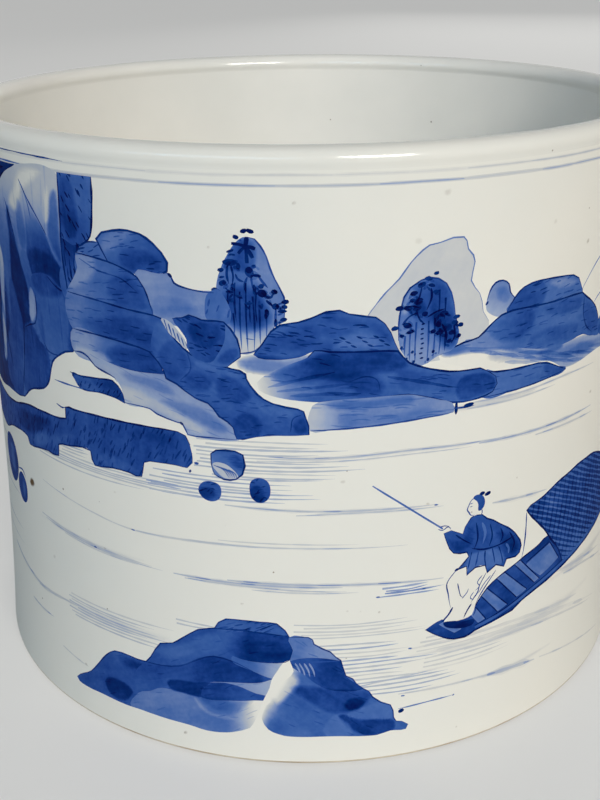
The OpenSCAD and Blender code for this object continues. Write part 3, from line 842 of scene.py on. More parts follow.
def middleGround():
    rockTop = [(-12, 109.5), (-10, 112), (-8, 115), (-6, 116.5), (-2, 117.2), (1, 118.2), (4, 119.5),
        (7, 119.8), (9, 118.9), (12, 118.3), (15, 117.8), (17, 116.3), (18.5, 114), (19.5, 111.5),
        (20.5, 109.6)]
    rock = fill(rockTop + [(16, 109.6), (10, 109.8), (5, 110), (1.5, 110.4), (-2, 109), (-8, 108.4)], 0.64,
        grain=-10)
    wash(rock, 0.14, 1.5, [(-10, 111), (-5, 115.6), (1, 117), (3, 113), (-3, 110)])
    wash(rock, 0.12, 1.3, [(3, 118.6), (8, 118.6), (16, 116.6), (19, 111), (15, 114), (8, 116)])
    lift(rock, 0.22, 1.4, [(5, 111), (9, 115), (14, 115), (17, 112), (16, 110), (8, 110.2)])
    dashes(rock, 44, 2.2, 0.32, -6, 0.2)
    for i in range(9):
        x = 7 + i * 1.25
        shade(rock, [(x, 113.6 - i % 3), (x + 1.4, 113 - i % 3)], 0.4, 0.4)
    stroke(rockTop, 0.42, 1)
    stroke([(-12, 109.4), (-8, 108.6), (-2, 109.2), (1.5, 110.6)], 0.34, 0.6)
    wash(None, 0.36, 1.6, [(-16.4, 107), (-12.4, 109.8), (-5, 109.4), (1, 109.6), (-1, 105), (-9, 104.2)])
    band = [(-11.5, 102.8), (-7.6, 105.8), (-3, 107.8), (0, 109), (1.5, 110.6), (5, 110.2), (10, 110),
        (20.3, 109.5), (21.5, 108), (23, 106.5), (25, 105.6), (28, 104.5), (33, 103.2), (38, 102.8),
        (41, 102.8), (43, 101.8), (45.6, 100), (46.2, 98), (45, 96.2), (41, 95.3), (37, 95.1), (34, 95.4),
        (31, 96.5), (27, 97.8), (23, 98.8)]
    body = fill(band + [(15, 98.6), (8, 98.2), (3, 98.2), (-2, 98.6), (-7, 99.4), (-11, 101)], 0.03,
        fade=((-12, 102.4), (1, 104.4), 0.6), grain=-8)
    for tone, soft, points in (
            (0.3, 1.5, [(-9, 104), (-2, 108.6), (6, 111), (20, 110), (23, 105.6), (14, 103.8), (4, 103)]),
            (0.2, 1.7, [(1, 101.4), (8, 105), (14, 105.6), (17.6, 103), (17, 99), (9, 98.8)]),
            (0.12, 1.4, [(20, 105), (27, 104), (34, 102), (36, 97), (28, 98.6), (21, 100)]),
            (0.24, 0.8, [(35.4, 101), (41, 102), (45.6, 99.8), (45.8, 97), (42, 95.6), (35.6, 95.6)])):
        wash(body, tone, soft, points)
    lift(body, 0.2, 1.2, [(-5, 101.4), (4, 103.4), (9, 102.6), (11, 100), (4, 99.2), (-3, 99.8)])
    for points in (
            [(-9, 101.8), (-3, 103.4), (6, 105.4)], [(-7, 100.8), (0, 101.6), (9, 102.4)],
            [(-4, 99.8), (4, 100.2), (12, 100)], [(18, 103.6), (26, 101.6), (34, 99.2)]):
        shade(body, points, 0.8, 0.16)
    shade(body, [(9.4, 103), (13, 104), (15.6, 103), (16.4, 100.2)], 0.3, 0.16)
    dashes(body, 30, 3, 0.32, -8, 0.14)
    stroke(band[3:17], 0.48, 1.1)
    stroke(band[16:] + [(15, 98.6), (8, 98.3)], 0.42, 1.05)
    lower = fill([(1, 97.4), (4, 98.4), (12, 98.8)] + band[:20:-1] + [(34.6, 93), (25, 92.5), (15, 91.8),
        (5, 91.3), (0.4, 91.3)], 0.14, fade=((1, 95), (9, 95), 0.36), grain=-4)
    wash(lower, 0.14, 1.2, [(3, 98.4), (16, 98.6), (25, 97.6), (16, 96), (6, 96)])
    wash(lower, 0.08, 1.2, [(6, 94), (18, 94.6), (30, 93.6), (18, 92)])
    dashes(lower, 22, 5, 0.34, -3, 0.1, 4)
    stroke([(0.5, 91.2), (15, 91.8), (25, 92.4), (34.5, 92.9)], 0.42, 0.75)
    stroke([(35.2, 95.4), (35.2, 92.2)], 0.8, 1.15)
    stroke([(34.6, 93.8), (37, 93.7), (40, 93.7)], 0.45, 0.9)
    lens((38.4, 94), 3, 1.2, 8, 1.15)


def rightHills():
    peak = [(13, 118), (15, 120.8), (17, 123.3), (20, 126.3), (22.5, 129.8), (25, 132.3), (26.5, 133.3),
        (29, 133.7), (32, 134.5), (34.5, 134.4), (35.3, 133.5), (35.8, 131.6), (37.2, 130), (37.7, 128.5),
        (37.3, 126), (37.1, 124.2), (38.2, 122.5), (39.5, 121), (40.3, 119), (40.8, 116.5), (42.5, 114)]
    fill(peak + [(42, 108), (16, 108)], 0.09, grain=60)
    stroke(peak, 0.34, 0.42)
    stroke([(73, 115), (76, 118.4), (80, 122), (85, 124.5), (90, 123.8), (96, 119), (103, 113)], 0.34, 0.42)
    stroke([(80, 110.6), (83, 112.6), (88, 113.4), (94, 112)], 0.32, 0.4)
    shore = fill([(30, 107.4), (36, 109.6), (42, 109), (50, 107), (58, 104.6), (64, 103.4), (76, 103.4),
        (86, 101.6), (95, 101), (106, 99), (104, 96), (86, 97.4), (70, 96.6), (63, 100), (56, 101),
        (48, 101.4), (42, 102.6), (36, 104)], 0.02, grain=-14)
    for tone, soft, points in (
            (0.44, 1.2, [(30, 108), (37, 110.4), (46, 110), (54, 106.4), (47, 105.8), (38, 106.6)]),
            (0.3, 1.1, [(46, 107), (58, 105), (68, 103.4), (60, 101.8), (51, 104.2)]),
            (0.22, 1.3, [(58, 103.4), (74, 104), (92, 102), (106, 99.6), (104, 95.6), (86, 96.6), (70, 96),
                (62, 99.6)]),
            (0.1, 1, [(70, 101), (84, 101), (92, 99), (78, 98.4)]),
            (0.14, 1.5, [(43, 106), (60, 104), (78, 102), (84, 98.6), (70, 98), (55, 101)])):
        wash(shore, tone, soft, points)
    for x, y, long in (
            (38, 107.4, 9), (42, 106.4, 10), (46, 105.2, 12), (50, 103.8, 12), (54, 102.8, 11),
            (60, 102, 14), (66, 101.2, 18), (72, 100, 18), (80, 99.4, 16), (70, 98.4, 18), (48, 103, 16),
            (56, 101.8, 18), (52, 104.6, 20)):
        shade(shore, [(x, y), (x + long / 2, y - long * 0.11), (x + long, y - long * 0.26)], 0.9, 0.12)
    knobTop = [(42.3, 121.2), (43.6, 122.8), (45.6, 123.1), (47.4, 122), (48, 120)]
    knob = fill([(42, 116.2), (41.5, 118.6)] + knobTop + [(49.6, 118.4), (50.5, 115.6), (46, 114.4)], 0.36,
        fade=((45.4, 120.6), (43.4, 115.4), 0.2), grain=60)
    wash(knob, 0.1, 0.9, [(44, 121.6), (47, 121.6), (48, 118), (45, 118)])
    stroke([(41.7, 119)] + knobTop + [(49.4, 118.4)], 0.42, 0.9)
    lens((41.7, 118.3), 1.1, 0.6, 50, 0.9)
    crown = [(47.4, 115.2), (49.5, 118.4), (52, 120.5), (57, 121.2), (64, 120.8), (69, 120.2), (71.5, 119),
        (73, 116.8), (74, 114.8)]
    top = fill(crown + [(65, 114.8), (55, 114.8)], 0.52, grain=5)
    wash(top, 0.2, 1.2, [(46.6, 114), (49, 118.6), (52, 121.6), (58, 121.6), (60, 118), (57.6, 114)])
    lift(top, 0.3, 1, [(60, 120.6), (69, 119.8), (71.6, 118), (64, 117.8)])
    dashes(top, 22, 2.2, 0.34, 5, 0.22)
    stroke(crown, 0.42, 1)
    brow = [(30, 107.5), (33, 108.6), (36, 109.7), (40, 110.4), (43, 112.8), (46, 114.8), (49, 115.4),
        (60, 115.1), (74, 114.8), (76, 113.4), (79, 111.6), (82, 109), (84.5, 105), (86, 101.5)]
    main = fill(brow[2:] + [(80, 102.4), (76, 103.8), (72, 103.4), (66, 103.2), (60, 103.8), (54, 105.2),
        (48, 106.8), (40, 108)], 0.36, fade=((42, 111), (55, 110), 0.56), grain=-8)
    for tone, points in (
            (0.16, [(42, 112), (46, 115.6), (54, 115.6), (57, 111.6), (53, 108), (46, 108)]),
            (0.14, [(55, 108), (66, 109), (74, 106), (63, 103.4), (55, 105.4)]),
            (0.14, [(59, 114.6), (74, 114), (74, 110.6), (62, 111.4)]),
            (0.12, [(75, 112.4), (82, 108.6), (85.4, 103), (80, 102.6), (76.4, 106)]),
            (-0.06, [(55, 112.4), (66, 112), (76, 110), (72, 108.4), (58, 109.4)])):
        wash(main, tone, 1.3, points)
    dashes(main, 46, 2.6, 0.32, 0, 0.15)
    shade(main, [(75, 113.6), (75.6, 109), (77.6, 105.4), (81, 103)], 0.36, 0.25)
    stroke(brow, 0.46, 1.05)
    stroke([(86, 101.5), (80, 102.4), (76, 103.8), (71, 103.5)], 0.34, 0.6)
    distantTop = [(84, 105), (88, 108), (94, 109.5), (102, 109), (110, 106), (118, 102), (124, 98)]
    distant = fill(distantTop + [(112, 97.5), (98, 99), (86, 101)], 0.6, fade=((86, 106), (122, 99), 0.3),
        grain=-8)
    patches(distant, 8, 12, 4, -8, 0.16)
    stroke(distantTop, 0.45, 1)
    spitTop = [(42, 101.8), (46, 101), (52, 100.6), (59, 100.4), (62, 99.8), (66, 98), (70, 96.2)]
    spit = fill(spitTop + [(62, 95.6), (52, 95.3), (42, 95.3)], 0.48, fade=((48, 98), (66, 97.4), 0.6),
        grain=-5)
    wash(spit, 0.16, 0.8, [(61, 99.6), (66, 98), (69.6, 96.4), (63, 96)])
    dashes(spit, 14, 3, 0.32, -4, 0.14)
    stroke(spitTop, 0.45, 1.05)
    stroke([(70, 96.2), (62, 95.6), (52, 95.2), (42, 95.2)], 0.36, 0.9)


def fisher():
    stroke([(15, 76.6), (24, 69.8), (33, 62.8)], 0.46, 0.54, ends=(0.6, 1), waver=0.05)
    fill([(36.7, 50.5), (41, 52), (46, 49.7), (50, 48), (46, 43), (43, 39.5), (42, 36.8), (37, 36.2),
        (34, 36.8), (35.5, 39.5), (35, 44), (34.6, 47.3)], 0.02)
    coat = [(33.3, 61.5), (34, 59.5), (35, 57), (36.2, 55.5), (38, 55), (40, 54.9), (40.6, 53.6),
        (38.6, 51.6), (37, 50.6), (40, 51), (40.2, 48.5, 0.3), (42.6, 50), (45.6, 49.8), (46.3, 47.5, 0.3),
        (49, 49), (51.6, 47.7, 0.3), (52.4, 49.6), (55.5, 49.3), (56.8, 50), (57.3, 51.8), (56.8, 53.5),
        (55, 56), (52.5, 58.3), (50, 60), (47.5, 61.8), (45.5, 62.8), (44, 64.2), (42, 64.5), (40.8, 64.1),
        (39.2, 62), (38.6, 60.2), (37, 61), (35.3, 61.9)]
    body = fill(coat, 0.76, grain=-50)
    wash(body, 0.14, 1, [(34, 60), (38, 59), (41, 62), (42, 57), (39, 55.4), (36, 56)])
    wash(body, 0.18, 1.2, [(48, 58), (53, 57), (57, 52), (55, 49.8), (51, 53)])
    lift(body, 0.35, 1, [(40, 54), (44, 54.6), (50, 53.6), (52, 49), (46, 48), (40, 49)])
    for points, tone in (
            ([(41.4, 55.6), (45, 54.4), (50, 54.4), (55.4, 55.6)], 0.4),
            ([(42.4, 62.4), (43, 58), (42, 55)], 0.4),
            ([(46.6, 61), (47.4, 57.6), (46.6, 54.8)], 0.35),
            ([(50, 59), (50.8, 56.6), (50, 54.8)], 0.3),
            ([(36.6, 60.4), (39, 58.4), (41, 57)], 0.35),
            ([(53, 57), (54.8, 53.6), (54, 51)], 0.35),
            ([(41.4, 54.6), (40.8, 52), (40.4, 50)], 0.35),
            ([(43.4, 54.2), (43, 52), (42.6, 50.4)], 0.35),
            ([(45.4, 54), (45.4, 51.6), (46, 48.6)], 0.35),
            ([(47.6, 54), (48.2, 51.6), (48.6, 49.6)], 0.35),
            ([(49.6, 54), (50.6, 51.4), (51.2, 48.8)], 0.35)):
        shade(body, points, 0.45, tone)
    stroke([(44.2, 62), (45.2, 59), (44.6, 56)], 0.7, 0.35, how="lift", within=body)
    stroke([(52, 54), (53, 52.4), (53, 51)], 0.8, 0.4, how="lift", within=body)
    stroke(coat + coat[:1], 0.4, 1.12)
    lens((37.2, 50.7), 1.3, 0.7, 25, 1.15)
    for points in (
            [(31.7, 62.9), (33, 62.4), (34.5, 63.1), (35.2, 62.2)],
            [(32, 63.4), (33.4, 63.5), (34.6, 63.2)],
            [(37.3, 50.8), (36, 49.5), (35, 48.3), (34.5, 47), (35, 44.5), (35.4, 42), (35.8, 40.4)],
            [(37.6, 46.8), (38, 45), (38.6, 43), (39.4, 42.4)],
            [(46, 47.6), (44.8, 45.8), (44, 44.4), (43.6, 42.8), (42.2, 41.2), (41.6, 40.2)],
            [(49, 47.4), (46.6, 44.6), (44.2, 41.6), (43, 39.6)]):
        stroke(points, 0.32, 0.9)
    fill([(33.8, 36.3), (36.4, 36.5), (39.6, 35.6), (42.8, 35.2), (42, 33.8), (37, 34.2)], 1.1)
    for points in (
            [(39, 42.2), (40.4, 43.6), (40.8, 44.6)],
            [(44.8, 47.2), (43.4, 45.6), (44, 44.4), (42.8, 43.4)],
            [(42.4, 43.2), (41.4, 41.8), (42.4, 41)],
            [(47.4, 46.4), (45.4, 44.6), (43.8, 42.4)]):
        stroke(points, 0.3, 0.75)
    stroke([(36.4, 40.4), (35.4, 38.8), (34, 37.4), (33.2, 36.8)], 0.6, 1)
    stroke([(41.8, 40), (40.6, 38.4), (39.6, 36.6)], 0.5, 1)
    stroke([(43, 39.4), (43, 37.6), (42.4, 36.4)], 0.4, 0.9)
    plainHead((41.8, 67))


def plainHead(centre):  # an even oval, with its features at the usual half-way and third lines
    x, y = centre
    width, height = 3.9, 5.2
    fill([(x + width / 2 * math.cos(a), y + height / 2 * math.sin(a))
        for a in np.linspace(0, math.tau, 9)[:-1]], 0.02)
    stroke([(x + 0.6, y + height * 0.46), (x - 1.1, y + height * 0.36), (x - 1.8, y + 0.6),
        (x - 2.2, y - 0.5), (x - 1.7, y - 1.3), (x - 1.1, y - 2.2), (x + 0.3, y - height * 0.47)], 0.3,
        0.85)
    stroke([(x - 1.5, y + 0.1), (x - 0.7, y + 0.15)], 0.28, 0.9)
    stroke([(x - 1.6, y + 0.9), (x - 0.6, y + 1)], 0.22, 0.7)
    stroke([(x - 1.5, y - 1.35), (x - 0.9, y - 1.3)], 0.22, 0.7)
    fill([(x - 0.6, y + 2.5), (x + 1.2, y + 2.9), (x + 2.5, y + 1.9), (x + 2.9, y + 0.2),
        (x + 2.2, y - 1.2), (x + 1.1, y - 1.5), (x + 0.9, y + 0.3), (x + 0.4, y + 1.3)], 0.8)
    lens((x + 2, y + 3), 1.6, 1.1, 0, 1.2)
    lens((x + 3.6, y + 2.6), 2, 1.1, 15, 1.2)
    stroke([(x + 2, y - 1.2), (x + 2.2, y - 2.2), (x + 1.8, y - 2.9)], 0.3, 0.8)


def boat():
    keel = [(29, 35.7, 0), (31, 34.2), (34, 32.4), (37, 31.2), (40, 31), (43, 32), (48, 32.9), (55, 34),
        (57, 35), (60, 36.2), (66, 37.4), (75, 39.2), (85, 41), (95, 42.8), (104, 45), (112, 48.5),
        (119, 54, 0)]
    rail = [(67.4, 51), (63, 49.4), (58.6, 48.2), (54, 46.6), (50, 45.2), (46.6, 43.2), (43.6, 40),
        (41.4, 37), (38.6, 36.2), (36, 36.6), (33.4, 37.6), (31, 36.8)]
    hull = fill(keel + [(113, 52), (106, 49), (96, 46), (85, 46), (74, 47)] + rail, 0.84, grain=10)
    fill([(43, 33.2), (52, 35), (60, 37.4), (67, 39), (76, 40.8), (90, 43.6), (90, 42.4), (76, 39.9),
        (66, 38), (57, 35.6), (50, 33.8), (43, 32.5)], 0.62, within=hull, grain=10)
    for points in (
            [(41.6, 37), (42.9, 38.9), (46, 34.5), (44, 33.9)],
            [(44.8, 41.2), (46.5, 43), (53.2, 36.4), (50, 35.3)],
            [(49.4, 44.8), (51.9, 46), (60, 38.4), (56.4, 37.3)],
            [(55.2, 47), (57.2, 47.7), (64.6, 39.7), (62.8, 39.2)],
            [(59.6, 45.6), (68.6, 48.4), (73, 42.6), (65.2, 40.3)],
            [(32.6, 36.4), (34.4, 37), (39, 33.6), (37, 33)]):
        board = fill([(x, y, 0.15) for x, y in points], 0.36, within=hull, grain=-42)
        wash(board, 0.1, 0.8, points)
    for top, bottom in (
            ((42.9, 38.9), (46.4, 34.3)), ((44.8, 41.2), (50, 35.2)), ((46.5, 43), (53.4, 36.2)),
            ((49.4, 44.8), (56.4, 37.2)), ((51.9, 46), (60.2, 38.2)), ((55.2, 47), (63, 39)),
            ((57.2, 47.7), (65, 39.5)), ((59.4, 46.2), (68.6, 49)), ((68.8, 48.6), (73.2, 42.4))):
        stroke([top, bottom], 0.36, 1.15, ends=(0.7, 0.7), waver=0.1)
    stroke([(43, 33.4), (52, 35.2), (60, 37.6), (67, 39.3), (76, 41.2)], 0.36, 1.1, ends=(0.6, 0.6))
    stroke(keel, 0.55, 1.15)
    stroke(rail, 0.42, 1.15)
    matTop = [(58.6, 61.2), (60, 62.2), (65, 63.2), (70, 65), (75, 66), (80, 66.8), (85, 66.9), (90, 66.5),
        (94, 65.2), (99, 62.5), (104, 58), (107, 53)]
    mat = fill(matTop + [(108, 47.5, 0), (98, 44.8), (85, 42.3), (75, 40.5, 0), (74.5, 42.8), (72.5, 45.5),
        (71, 47.5), (69, 49.5), (67.5, 51), (66, 53.5), (63.5, 56), (61, 58.5)], 0.5,
        fade=((64, 60), (95, 50), 0.62), grain=-27)
    for i in range(30):
        x = 14 + i * 3.1
        shade(mat, [(x, 70), (x + 12, 63.5), (x + 28, 56), (x + 52, 43.5), (x + 60, 40)], 0.85, 0.36)
    for i in range(24):
        x = 58 + i * 2.1
        shade(mat, [(x - 3, 40), (x, 54), (x + 2, 68)], 0.6, 0.2)
    stroke(matTop + [(108, 47.5)], 0.55, 1.15)
    stroke([(58.6, 61.2), (61, 58.5), (63.5, 56), (66, 53.5), (69, 49.5), (72.5, 45.5), (75, 40.5)], 0.55,
        1.15)
    stroke([(58.7, 60.6), (58.7, 55), (58.2, 50), (57.6, 47.8)], 0.42, 0.75)


def nearRock():
    left = [(-68, 9.2), (-66.5, 10.6), (-62, 13.6), (-58.4, 18), (-56, 21), (-53, 23.2), (-48, 23.5),
        (-43, 23.4), (-41.5, 25.3), (-40, 28), (-38.5, 30), (-35, 31), (-32, 33.3), (-28, 36.3),
        (-25, 37.2), (-23.5, 37.6), (-22.5, 39.3), (-20.5, 40.5), (-12, 40.5), (-8, 40.3), (-6, 38.5),
        (-5, 36.8), (-4, 33)]
    mass = fill(left + [(-4.4, 30.6), (-6.4, 29.6), (-8, 27), (-9.4, 24.5), (-10, 22), (-11.5, 18.5),
        (-13, 14), (-15, 10), (-17, 9), (-21, 7.8), (-26, 7.4), (-31, 8), (-38, 8.2), (-45, 8.4),
        (-50, 8.2), (-58, 8.3), (-63, 8), (-67, 8.2)], 0.68, grain=25)
    wash(mass, 0.05, 2, [(-66, 10), (-57, 20), (-46, 23), (-41, 19), (-48, 14), (-56, 9)])
    wash(mass, 0.14, 1.2, [(-52, 22.6), (-46, 23), (-42, 21.4), (-46, 19.8), (-51, 20)])
    wash(mass, -0.1, 2, [(-40, 27), (-32, 33), (-24, 36.6), (-20, 33), (-28, 28)])
    fan = fill([(-48, 8), (-45.5, 13.4), (-42, 15), (-38.5, 17), (-28, 17.2), (-20, 17.6), (-10, 19.6),
        (-10, 8), (-26, 6.8), (-40, 7.6)], 0.44, fade=((-22, 12), (-12.8, 13.4), 0.02), within=mass,
        grain=20)
    wash(fan, 0.16, 1.4, [(-28.4, 17.6), (-26.8, 14.8), (-23, 13.2), (-18.6, 13.2), (-15.4, 16),
        (-14, 18.4), (-20, 18)])
    lift(fan, 0.08, 1.6, [(-46, 12.6), (-38, 16), (-31, 16.4), (-34, 12), (-42, 9.6)])
    lift(fan, 0.3, 0.9, [(-29.6, 17), (-28.4, 13.6), (-24, 11.6), (-18, 11.8), (-20, 13), (-25, 13.4)])
    ridge = fill([(-46, 18), (-43, 23.3), (-38, 23.7), (-33, 24.8), (-28, 27.8), (-24, 29.5), (-19, 28.7),
        (-14, 26.5), (-7.6, 24.4), (-13, 23), (-20, 22.4), (-25, 21.4), (-29, 20.6), (-36, 20.4)], 0.72,
        fade=((-38, 22), (-22, 25), 0.88), within=mass, grain=25)
    lift(ridge, 0.2, 1.4, [(-12, 26.6), (-6, 25.4), (-7, 22.4), (-12, 23.4)])
    fill([(-19.4, 29.8), (-13, 29.8), (-3, 30.2), (-4, 25), (-7.6, 24.4), (-14, 26.5)], 0.56,
        fade=((-17, 28.6), (-5.6, 27.2), 0.16), within=mass, grain=-20)
    fill([(-25, 21.8), (-20, 22.6), (-13, 23.2), (-6, 24.6), (-7, 19), (-11, 19), (-17, 21.6), (-21, 22.3)],
        0.34, fade=((-19, 22.4), (-6.6, 21.6), 0.14), within=mass)
    fill([(-37, 19.6), (-36, 17.2), (-33, 16.9), (-27.2, 16.9), (-27, 19), (-25.2, 21.5), (-29, 21.1),
        (-33, 21)], 1, within=mass, soft=0.5)
    fill([(-27.4, 16.9), (-27, 19.2), (-24.5, 21.6), (-21, 22.2), (-17, 21.5), (-13.4, 20.2), (-10.4, 19.1),
        (-14, 18.1), (-20, 17.3)], 0.86, fade=((-24, 19.6), (-12, 19.4), 0.62), within=mass, grain=10)
    fill([(-57, 12.5), (-55, 14.8), (-51, 15.2), (-47.2, 13.4), (-48, 11), (-50.6, 8.8), (-55, 9.2)], 1,
        within=mass, soft=0.7)
    cap = fill([(-22.6, 37.5), (-12, 37.6), (-5, 37), (-3.6, 33), (-4.2, 30.4), (-6, 29.6), (-12, 29.2),
        (-16.6, 29.6), (-19.6, 30.8), (-21.4, 33.4)], 0.66, fade=((-22, 34), (-15, 33.6), 0.9), within=mass,
        grain=3)
    wash(cap, 0.1, 1.2, [(-17, 34), (-8, 35.4), (-5, 32), (-8, 30), (-15, 30.8)])
    brim = fill([(-23.6, 37.5), (-22.4, 39.3), (-20.5, 40.4), (-12, 40.4), (-8, 40.2), (-6, 38.4),
        (-5.4, 37.2), (-12, 37.6)], 0.62, within=mass, grain=3)
    dashes(brim, 20, 2.4, 0.36, 25, 0.2)
    stroke([(-24, 37.4), (-18, 37.8), (-12, 37.5), (-5.4, 37)], 0.42, 1)
    shade(mass, [(-43, 23.4), (-38, 23.7), (-33, 24.9), (-28, 27.9), (-24, 29.5), (-19, 28.7), (-14, 26.5)],
        0.4, 0.2)
    dashes(mass, 40, 2.6, 0.3, 22, 0.08, 12)
    stroke(left + [(-4.4, 30.6), (-6, 29.6), (-12, 29.2), (-16.4, 29.7)], 0.36, 0.95)
    right = [(-5, 36.7), (-0.3, 36.7), (0.7, 36), (1, 34.8), (3, 33.5), (5, 32.5), (6.3, 31), (7.5, 30),
        (8, 28), (8.8, 25.5), (10.5, 24.5), (11.3, 23), (13, 21.5), (14.5, 20.5), (15.5, 18.7), (17.5, 17),
        (20, 15.8), (20.7, 14), (20.8, 12), (21.5, 10.8), (23, 10.5), (24.6, 9.3), (24, 8)]
    mass = fill(right + [(20, 8.3), (16.5, 7.5), (6, 8.2), (-5, 8.2), (-8, 8.8), (-10.4, 10), (-12, 13),
        (-11, 17), (-9, 21), (-6.5, 24), (-4, 27), (-4.9, 30), (-4.1, 33)], 0.01,
        fade=((-11.4, 16), (-7.4, 14), 0.58), grain=-40)
    lift(mass, 0.75, 1.5, [(-9.4, 22), (-5, 27), (-2, 24), (-5, 19.6), (-8.6, 17)])
    fill([(-5, 36.7), (0, 36.6), (1, 35), (5.5, 32.3), (7.6, 29.7), (-5.1, 29.8), (-4.3, 33)], 0.44,
        fade=((-3, 35), (3, 31), 0.34), within=mass, grain=-20)
    dark = fill([(-5, 29.9), (7.6, 29.8), (8.4, 26), (11.4, 23), (13.4, 21.4), (6, 21.4), (2, 23.2),
        (-1, 25.8)], 0.7, fade=((-2, 28), (3, 26), 0.84), within=mass, grain=-40)
    for x in (-3.6, -2.6, -1.4, -0.2):
        stroke([(x, 29.4), (x + 1, 27.4), (x + 1.4, 25.6)], 0.45, 0.6, how="lift", within=dark)
    wash(mass, 0.24, 1.1, [(-5, 23), (0, 23.4), (6, 22.2), (13, 21.4), (15.4, 20), (15, 18), (12.6, 15.6),
        (8, 14.4), (4.6, 14.6), (1.6, 16.4), (-1.6, 18.8), (-4.6, 21)])
    fill([(3.4, 8.6), (6, 14.6), (8.6, 11.4), (10.6, 8.4)], 0.48, within=mass, soft=0.5)
    fill([(7, 14.6), (9.2, 11.2), (11.2, 8.8), (16, 7.2), (20.8, 8), (21, 11.4), (16, 12.4), (12, 12.9)],
        0.88, within=mass, soft=0.6)
    fill([(9, 14.4), (14, 16.6), (17.6, 17.4), (20.6, 15.8), (21, 12), (16, 12.2), (12, 12.7)], 0.48,
        within=mass, soft=0.5)
    lens((10.8, 17.2), 5.8, 4.2, 10, 0.24, how="add", within=mass, soft=0.8)
    dashes(mass, 26, 2.4, 0.3, -30, 0.09, 12)
    stroke(right, 0.36, 0.95)
    stroke([(-4.4, 30), (1, 29.8), (7.6, 29.8)], 0.34, 0.7)
    stroke([(22, 14.3), (30, 14.8), (37, 14.9)], 0.36, 0.42)
    lens((22.8, 13.6), 1.6, 1.2, 20, 1.05)
    lens((37, 14.9), 0.7, 0.4, 20, 0.7)


riverPaint = {
    "wetWidth": 2.4,  # a pale wet stroke lies round a dry one
    "wetTone": 0.12,
    "dryTone": 0.4,
    "rockGap": 1.12,  # between the lines that start at the near rock
    "backLines": 90,
    "backStarts": (108, 460),  # across, counted on past the seam
}
riverLines = [  # width, tone, points
    (0.32, 0.2, [(-79, 64), (-62, 62.1), (-45, 60.4), (-25, 61), (-6, 61)]),
    (0.32, 0.26, [(-45, 60.3), (-25, 60.8), (0, 60.9), (24, 60.1)]),
    (0.3, 0.18, [(-22, 62), (-4, 62), (12, 61.6)]),
    (0.5, 0.22, [(-81, 53.7), (-68, 52.9), (-55, 52.1), (-40, 51.5)]),
    (0.34, 0.28, [(-79, 53), (-66, 52.2), (-52, 51.5), (-37, 51)]),
    (0.3, 0.2, [(-70, 51.9), (-58, 51.2), (-44, 50.9)]),
    (0.44, 0.4, [(-34, 51), (-20, 50.8), (-8, 50.6), (8, 50.2)]),
    (0.34, 0.32, [(-31, 50.3), (-15, 50.1), (-2, 49.5), (9, 49)]),
    (0.44, 0.42, [(-20, 51.4), (-5, 51.2), (14, 50.6), (33.6, 49.3)]),
    (0.3, 0.25, [(-14, 49.3), (0, 48.8), (12, 48.6)]),
    (0.55, 0.3, [(-106, 34), (-94, 31.5), (-83, 30.2), (-70, 31.4)]),
    (0.4, 0.22, [(-86, 29.7), (-76, 30.8), (-66, 31.6)]),
    (0.4, 0.28, [(-91, 23.2), (-84, 22.8), (-78, 23)]),
    (0.4, 0.16, [(-74, 16), (-68, 15), (-63, 14.4)]),
    (0.42, 0.4, [(-13, 84.9), (0, 84.2), (12, 84.5), (24, 84.8), (36, 84.3), (50, 83.6)]),
    (0.46, 0.46, [(42, 83.6), (58, 82.9), (74, 82.4), (85, 82)]),
    (0.3, 0.26, [(-12, 83.4), (6, 83.4), (24, 83.8), (40, 83.2)]),
    (0.5, 0.24, [(60, 81.5), (74, 80.8), (86, 80)]),
    (0.4, 0.36, [(-20, 71.5), (0, 70.7), (15, 70.4), (31, 69.7)]),
    (0.36, 0.3, [(-3, 69.6), (10, 69.9), (33, 69)]),
    (0.6, 0.28, [(47, 66.6), (57, 65.6), (66, 64.8)]),
    (1.3, 0.09, [(24, 28.8), (40, 29.2), (56, 28.8), (76, 26), (97, 20)]),
    (0.9, 0.12, [(25, 31), (40, 31.4), (62, 30), (84, 26.6)]),
    (0.6, 0.16, [(40, 27.4), (58, 27), (76, 24.4), (94, 20)]),
    (0.32, 0.24, [(8, 21.6), (22, 23.4), (38, 24)]),
    (0.5, 0.2, [(22, 18.6), (36, 18.2), (48, 17.5), (64, 15.6)]),
    (0.9, 0.3, [(47, 17.5), (56, 16.7), (64, 15.6)]),
    (0.5, 0.14, [(66, 15.4), (84, 11.6), (102, 7)]),
    (0.9, 0.16, [(72, 38.6), (84, 37), (100, 34)]),
    (0.6, 0.2, [(76, 36.4), (88, 34.6), (102, 31)]),
    (0.4, 0.28, [(38, 94.5), (54, 94.2), (70, 94.6), (84, 94)]),
    (0.36, 0.24, [(38, 93.1), (52, 92.9), (66, 93.2)]),
]
riverRows = [  # first across, last across, highest, lowest, strokes, tone
    (-27.4, 14, 88, 79.2, 10, 0.11),
    (-40.4, 7, 78.4, 73, 7, 0.17),
    (-69.6, -57, 78.2, 76.2, 3, 0.12),
    (-86, -22, 75.4, 72.2, 5, 0.12),
    (-41, -27, 74.9, 74.3, 2, 0.24),
    (16.6, 34.6, 49, 46.8, 4, 0.26),
    (-4, 30, 40, 36.4, 5, 0.08),
    (26, 54, 33.4, 24, 9, 0.06),
    (-34, -22, 38.1, 37.1, 2, 0.1),
    (-70, -33, 34.4, 28.6, 8, 0.1),
]
riverDots = [(-45, 60.4), (16.7, 46.8), (28.4, 47.4), (25, 31.2), (23.2, 17.9), (-26.6, 81.4), (-58, 51.9),
    (31, 69.6)]


